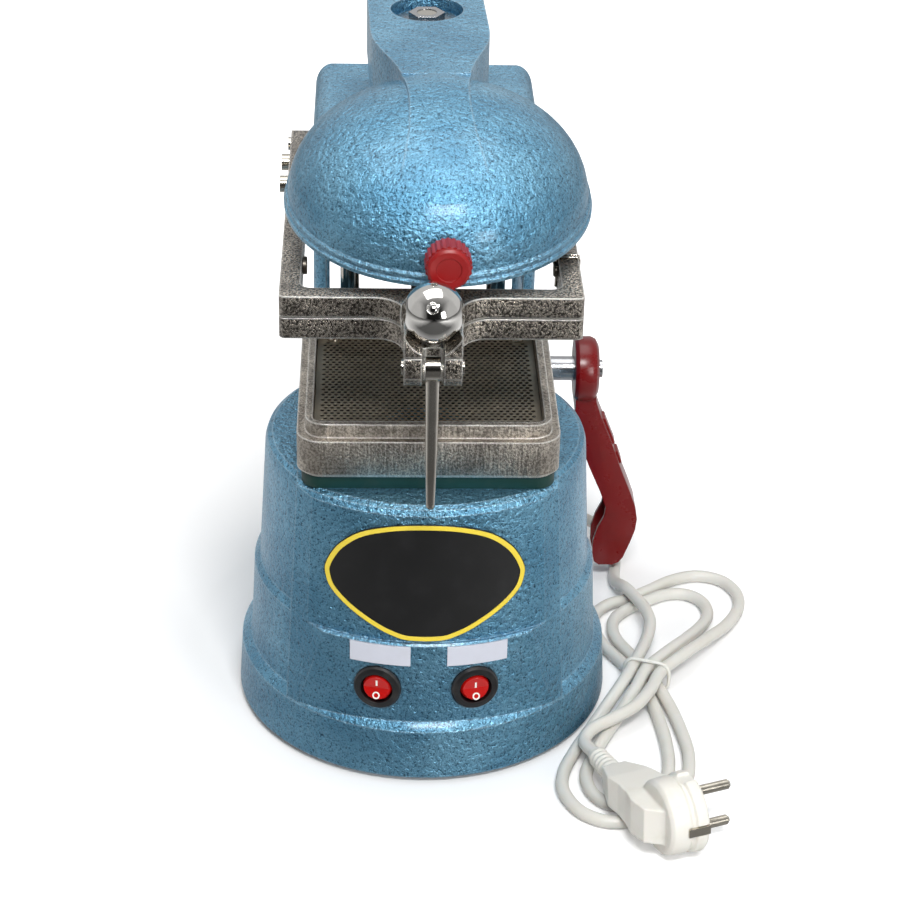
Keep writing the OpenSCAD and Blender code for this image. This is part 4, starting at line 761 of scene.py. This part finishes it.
def badgeRim():
    half = [(badge["width"] / 2 * u, badge["height"] * v) for u, v in badgeHalf]
    ring = smoothRing(half + [(-u, v) for u, v in reversed(half)], 6)
    (z0, r0), (z1, r1) = badge["ledge"], badge["top"]
    bm = bmesh.new()
    rows = []
    for i, p in enumerate(ring):
        along = (ring[(i + 1) % len(ring)] - ring[i - 1]).normalized()
        inward = Vector((-along.y, along.x))
        row = []
        near, far = badge["edge"], badge["edge"] + badge["rim"]
        sunk, proud = badge["sunk"], badge["proud"]
        for share, lift in ((near, sunk), (near, proud), (far, proud), (far, sunk)):
            q = p + inward * share
            x, z = badge["x"] + q.x, badge["z"] + q.y
            r = r0 + (r1 - r0) * (z - z0) / (z1 - z0) + lift
            row.append(bm.verts.new(at(x, badge["axisY"] - math.sqrt(r * r - x * x), z)))
        rows.append(row)
    for i in range(len(rows)):
        a, b = rows[i], rows[(i + 1) % len(rows)]
        for k in range(4):
            bm.faces.new((a[k], b[k], b[(k + 1) % 4], a[(k + 1) % 4]))
    newPiece("badgeRim", fromShape(bm, "badgeRim"), "badgeYellow", "machine")


badgeRim()
print("rocker marks and badge rim laid")


clip = {"bar": (58.25, 67.75), "top": 246.78, "wire": 0.5, "at": (-23.2, -25.6),
        "foot": 231.5, "outerFoot": 240,
        "knurl": (57.2, -27.5, 242.4), "knurlRadius": 3.6, "button": (-57.1, -25, 242.2), "buttonRadius": 4.1}


def turnedDisc(centre, radius, name, knurled=False):  # round steel part on an x axis
    bm = bmesh.new()
    sides = 48
    rows = []
    for x, r in ((-1.05, 0.001), (-1.05, radius - 0.5), (-0.8, radius), (0.75, radius), (1.05, radius - 0.4),
                 (1.05, radius * 0.45), (0.6, radius * 0.4), (0.6, 0.001)):
        rows.append([])
        for k in range(sides):
            cut = 0.3 if knurled and k % 4 < 2 and r > radius - 0.6 else 0
            a = 2 * math.pi * k / sides
            rows[-1].append(bm.verts.new(at(centre[0] + x, centre[1] + (r - cut) * math.cos(a),
                                            centre[2] + (r - cut) * math.sin(a))))
    for a, b in zip(rows, rows[1:]):
        for k in range(sides):
            bm.faces.new((a[k], a[(k + 1) % sides], b[(k + 1) % sides], b[k]))
    bmesh.ops.remove_doubles(bm, verts=bm.verts, dist=0.00001)
    newPiece(name, fromShape(bm, name, 30), "darkSteel", "frame_lift")


def sheetClip():
    inner, outer = clip["bar"]
    r = clip["wire"]
    for i, y in enumerate(clip["at"]):
        path = [(outer + r, clip["outerFoot"]), (outer + r, clip["top"] - 1),
                (outer + r - 0.3, clip["top"] + r),
                (outer - 1, clip["top"] + r + 0.05), (inner + 1, clip["top"] + r + 0.05),
                (inner - r + 0.3, clip["top"] + r), (inner - r, clip["top"] - 1),
                (inner - r, clip["foot"] + 2 * i)]
        name = "clipWire%d" % (i + 1)
        mesh = tube([at(x, y, z) for x, z in path], r * mm, 10, name=name)
        newPiece(name, mesh, "brightSteel", "frame_lift")
    turnedDisc(clip["knurl"], clip["knurlRadius"], "clipKnurl", True)
    turnedDisc(clip["button"], clip["buttonRadius"], "clipButton")


strips = {"runs": (((95.6, 98.4), (102.2, 81.8)), ((103.3, 78.6), (106.4, 70))), "y": 100, "half": 4.2,
          "sunk": -0.8, "proud": 1.3, "rounding": 0.35}


def leverStrips():
    for i, (top, low) in enumerate(strips["runs"]):
        a, b = Vector(top), Vector(low)
        along = (b - a).normalized()
        out = Vector((-along.y, along.x))
        bm = bmesh.new()
        ends = []
        sunk, proud = strips["sunk"], strips["proud"]
        for p, q in ((a, sunk), (a + along, proud), (b - along, proud), (b, sunk)):
            spot = p + out * q
            ends.append([bm.verts.new(at(spot.x, strips["y"] + side * strips["half"], spot.y))
                         for side in (-1, 1)])
        for k in range(4):
            (c, d), (e, f) = ends[k], ends[(k + 1) % 4]
            bm.faces.new((c, d, f, e))
        bm.faces.new([c[0] for c in ends])
        bm.faces.new([c[1] for c in reversed(ends)])
        mesh = worked(fromShape(bm, "strip", 20), ("BEVEL", {"width": strips["rounding"] * mm, "segments": 2,
                                                            "limit_method": "ANGLE"}))
        newPiece("leverStrip%d" % (i + 1), mesh, "redGloss", "lever_and_shaft")


rivet = {"ball": (0, -98, 254.38), "ballRadius": 13.35, "toward": (-0.06, -0.83, 0.55),
         "radius": 2.1, "proud": 0.5, "sides": 32}


def ballRivet():
    out = Vector(rivet["toward"]).normalized()
    side = out.orthogonal().normalized()
    other = out.cross(side)
    bm = bmesh.new()
    rows = []
    radius, proud, sides = rivet["radius"], rivet["proud"], rivet["sides"]
    turns = [k * math.pi / (sides / 2) for k in range(sides)]
    for r, h in ((radius + 0.7, -0.35), (radius + 0.35, -0.05), (radius, -0.25),
                 (radius - 0.1, proud - 0.3), (radius - 0.5, proud), (0.02, proud)):
        centre = at(*rivet["ball"]) + out * (rivet["ballRadius"] + h) * mm
        rows.append([bm.verts.new(centre + (math.cos(t) * side + math.sin(t) * other) * r * mm)
                     for t in turns])
    for a, b in zip(rows, rows[1:]):
        for k in range(sides):
            bm.faces.new((a[k], a[(k + 1) % sides], b[(k + 1) % sides], b[k]))
    shape = fromShape(bm, "ballRivet", 50)
    newPiece("ballRivet", shape, "chromePlate", nodes["ball_nut"]["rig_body"])


sheetClip()
leverStrips()
ballRivet()
print("sheet clip, lever strips and ball rivet set")


cord = {"diameter": 6.4, "gland": (82, 136, 14), "plug": (113.5, -141.5, 19.4), "plugTurn": 20, "plugDip": 6.6,
        "plugOff": -10, "plugLength": 64, "steps": 6, "tieAt": (114, -12, 4.9), "tieTurn": -19.5, "layer": 7.2}
glandX, glandY, glandZ = cord["gland"]
tieZ = cord["tieAt"][2]
highZ = tieZ + cord["layer"]
leadPoints = [
    (glandX, glandY, glandZ), (glandX + 6.4, glandY, glandZ), (97.5, 134, 10.8), (104, 128, 6.4),
    (107.3, 119.5, 3.8), (108, 109, 3.3), (107, 98, 3.3), (106, 88, 3.4), (106.5, 80, 5.2), (108, 73, 8.4),
    (110.5, 66, 10.5), (114.5, 57, 10.7), (118.5, 46, 10.6), (120, 34, 10.6), (117.5, 20, 10.8),
    (113, 6, 11.5), (107, -9.6, highZ)]
loopPoints = [
    (100, -25, 11.4), (91, -40, 8), (82, -55, 4.6), (73.5, -71, 3.3), (67, -88, 3.3), (66, -103, 3.3),
    (72.5, -118, 3.3), (84, -126, 3.3), (98, -125.5, 3.3), (111, -118.5, 3.3), (121, -106, 3.3), (127, -90, 3.3),
    (129, -72, 3.3), (127.5, -54, 3.4), (124, -34, 4), (117.8, -12.5, tieZ),
    (114.4, 0, 4.4), (108, 14, 3.5), (102.5, 27, 3.3), (101, 38, 3.3), (103.5, 48.5, 3.3), (111, 57, 3.3),
    (121, 64.5, 3.3), (132, 71, 3.3), (143, 71.5, 3.3), (151, 64.5, 3.3), (153, 53, 3.4), (149, 40, 4.8),
    (139.5, 23, 8.3), (126.8, 5, 11.4), (114, -12, highZ),
    (107, -28, 11.4), (98.5, -44, 8), (89.5, -59.5, 4.6), (82, -75.5, 3.3), (77.5, -91, 3.3), (80, -105, 3.3),
    (88, -113.5, 3.3), (98.5, -114, 3.3), (108, -108, 3.3), (115, -97, 3.3), (118.5, -82, 3.3), (119, -64, 3.3),
    (117.5, -45, 3.5), (114.5, -27, 4.2), (109.6, -11.2, tieZ),
    (104, 3, 4.4), (97.2, 17, 3.5), (92.5, 30, 3.3), (91, 42, 3.3), (93.5, 53, 3.3), (101, 61.5, 3.3),
    (111, 66.5, 3.3), (123, 75, 3.3), (137, 85.5, 3.3), (151.5, 90, 3.3), (164.5, 85, 3.3), (171, 72, 3.3),
    (169.5, 56, 3.7), (161, 38, 5.5), (149, 21, 8.6), (136, 3.6, 11.4), (121.2, -14.4, highZ)]
tailPoints = [(113.8, -31, 12.1), (104.8, -45.5, 12.2), (93.5, -55.5, 12.4), (82, -64, 11.5)]

plugPose = (Matrix.Translation(at(*cord["plug"])) @ Matrix.Rotation(math.radians(cord["plugTurn"]), 4, "Z")
            @ Matrix.Rotation(math.radians(-cord["plugDip"]), 4, "X"))


def cordLine():
    enter = plugPose @ Vector((cord["plugOff"] * mm, (cord["plugLength"] + 2 * cord["diameter"]) * mm, 0))
    end = plugPose @ Vector((cord["plugOff"] * mm, cord["plugLength"] * mm, 0))
    knots = [at(*p) for p in leadPoints + loopPoints + tailPoints] + [enter, end]
    line, last = [], len(knots) - 1
    for i in range(last):
        a, b, c, d = knots[max(i - 1, 0)], knots[i], knots[i + 1], knots[min(i + 2, last)]
        line += [between(a, b, c, d, j / cord["steps"]) for j in range(cord["steps"])]
    return line + [knots[-1]]


def layCord(line):
    curve = bpy.data.curves.new("mainsCord", "CURVE")
    curve.dimensions = "3D"
    curve.bevel_depth = cord["diameter"] / 2 * mm
    curve.bevel_resolution = 6
    curve.use_fill_caps = True
    spline = curve.splines.new("POLY")
    spline.points.add(len(line) - 1)
    for point, place in zip(spline.points, line):
        point.co = (*place, 1)
    spline.use_smooth = True
    curve.materials.append(finishes["cordVinyl"])
    obj = bpy.data.objects.new("mainsCord", curve)
    bpy.context.scene.collection.objects.link(obj)
    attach(obj, "machine")
    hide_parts("cord_lead", "cord_hank", "cord_tail")
    return obj


cordPath = cordLine()
mainsCord = layCord(cordPath)


tie = {"width": 23.2, "height": 16.2, "corner": 5.4, "wire": 0.9, "weave": 0.05, "under": 0.3, "middle": 7.1}


def wireTie():
    middle = tieZ - cord["diameter"] / 2 - tie["under"] + tie["middle"]
    turn = (Matrix.Translation(at(*cord["tieAt"][:2], middle))
            @ Matrix.Rotation(math.radians(cord["tieTurn"]), 4, "Z")
            @ Matrix.Rotation(math.radians(90), 4, "X"))
    shape = roundedRing(tie["width"], tie["height"], tie["corner"])
    points = [turn @ Vector((x * mm, y * mm, (tie["wire"] if i % 2 else -tie["wire"]) * tie["weave"] * mm))
              for i, (x, y) in enumerate(shape)]
    mesh = tube(points, tie["wire"] * mm, 10, True, "cordTie")
    return standIn("cord_tie", mesh, "cordTie", "whitePlastic")


plugSkin = {"voxel": 0.42, "smooth": 0.5, "passes": 5}


def mouldedPlug():
    mesh = fromShape(cadShape("plug_body"), "plugRough")
    mesh = worked(mesh, ("REMESH", {"mode": "VOXEL", "voxel_size": plugSkin["voxel"] * mm}),
                  ("SMOOTH", {"factor": plugSkin["smooth"], "iterations": plugSkin["passes"]}))
    bm = bmesh.new()
    bm.from_mesh(mesh)
    return standIn("plug_body", fromShape(bm, "mouldedPlug", 80), "mouldedPlug")


cordTie = wireTie()
plug = mouldedPlug()
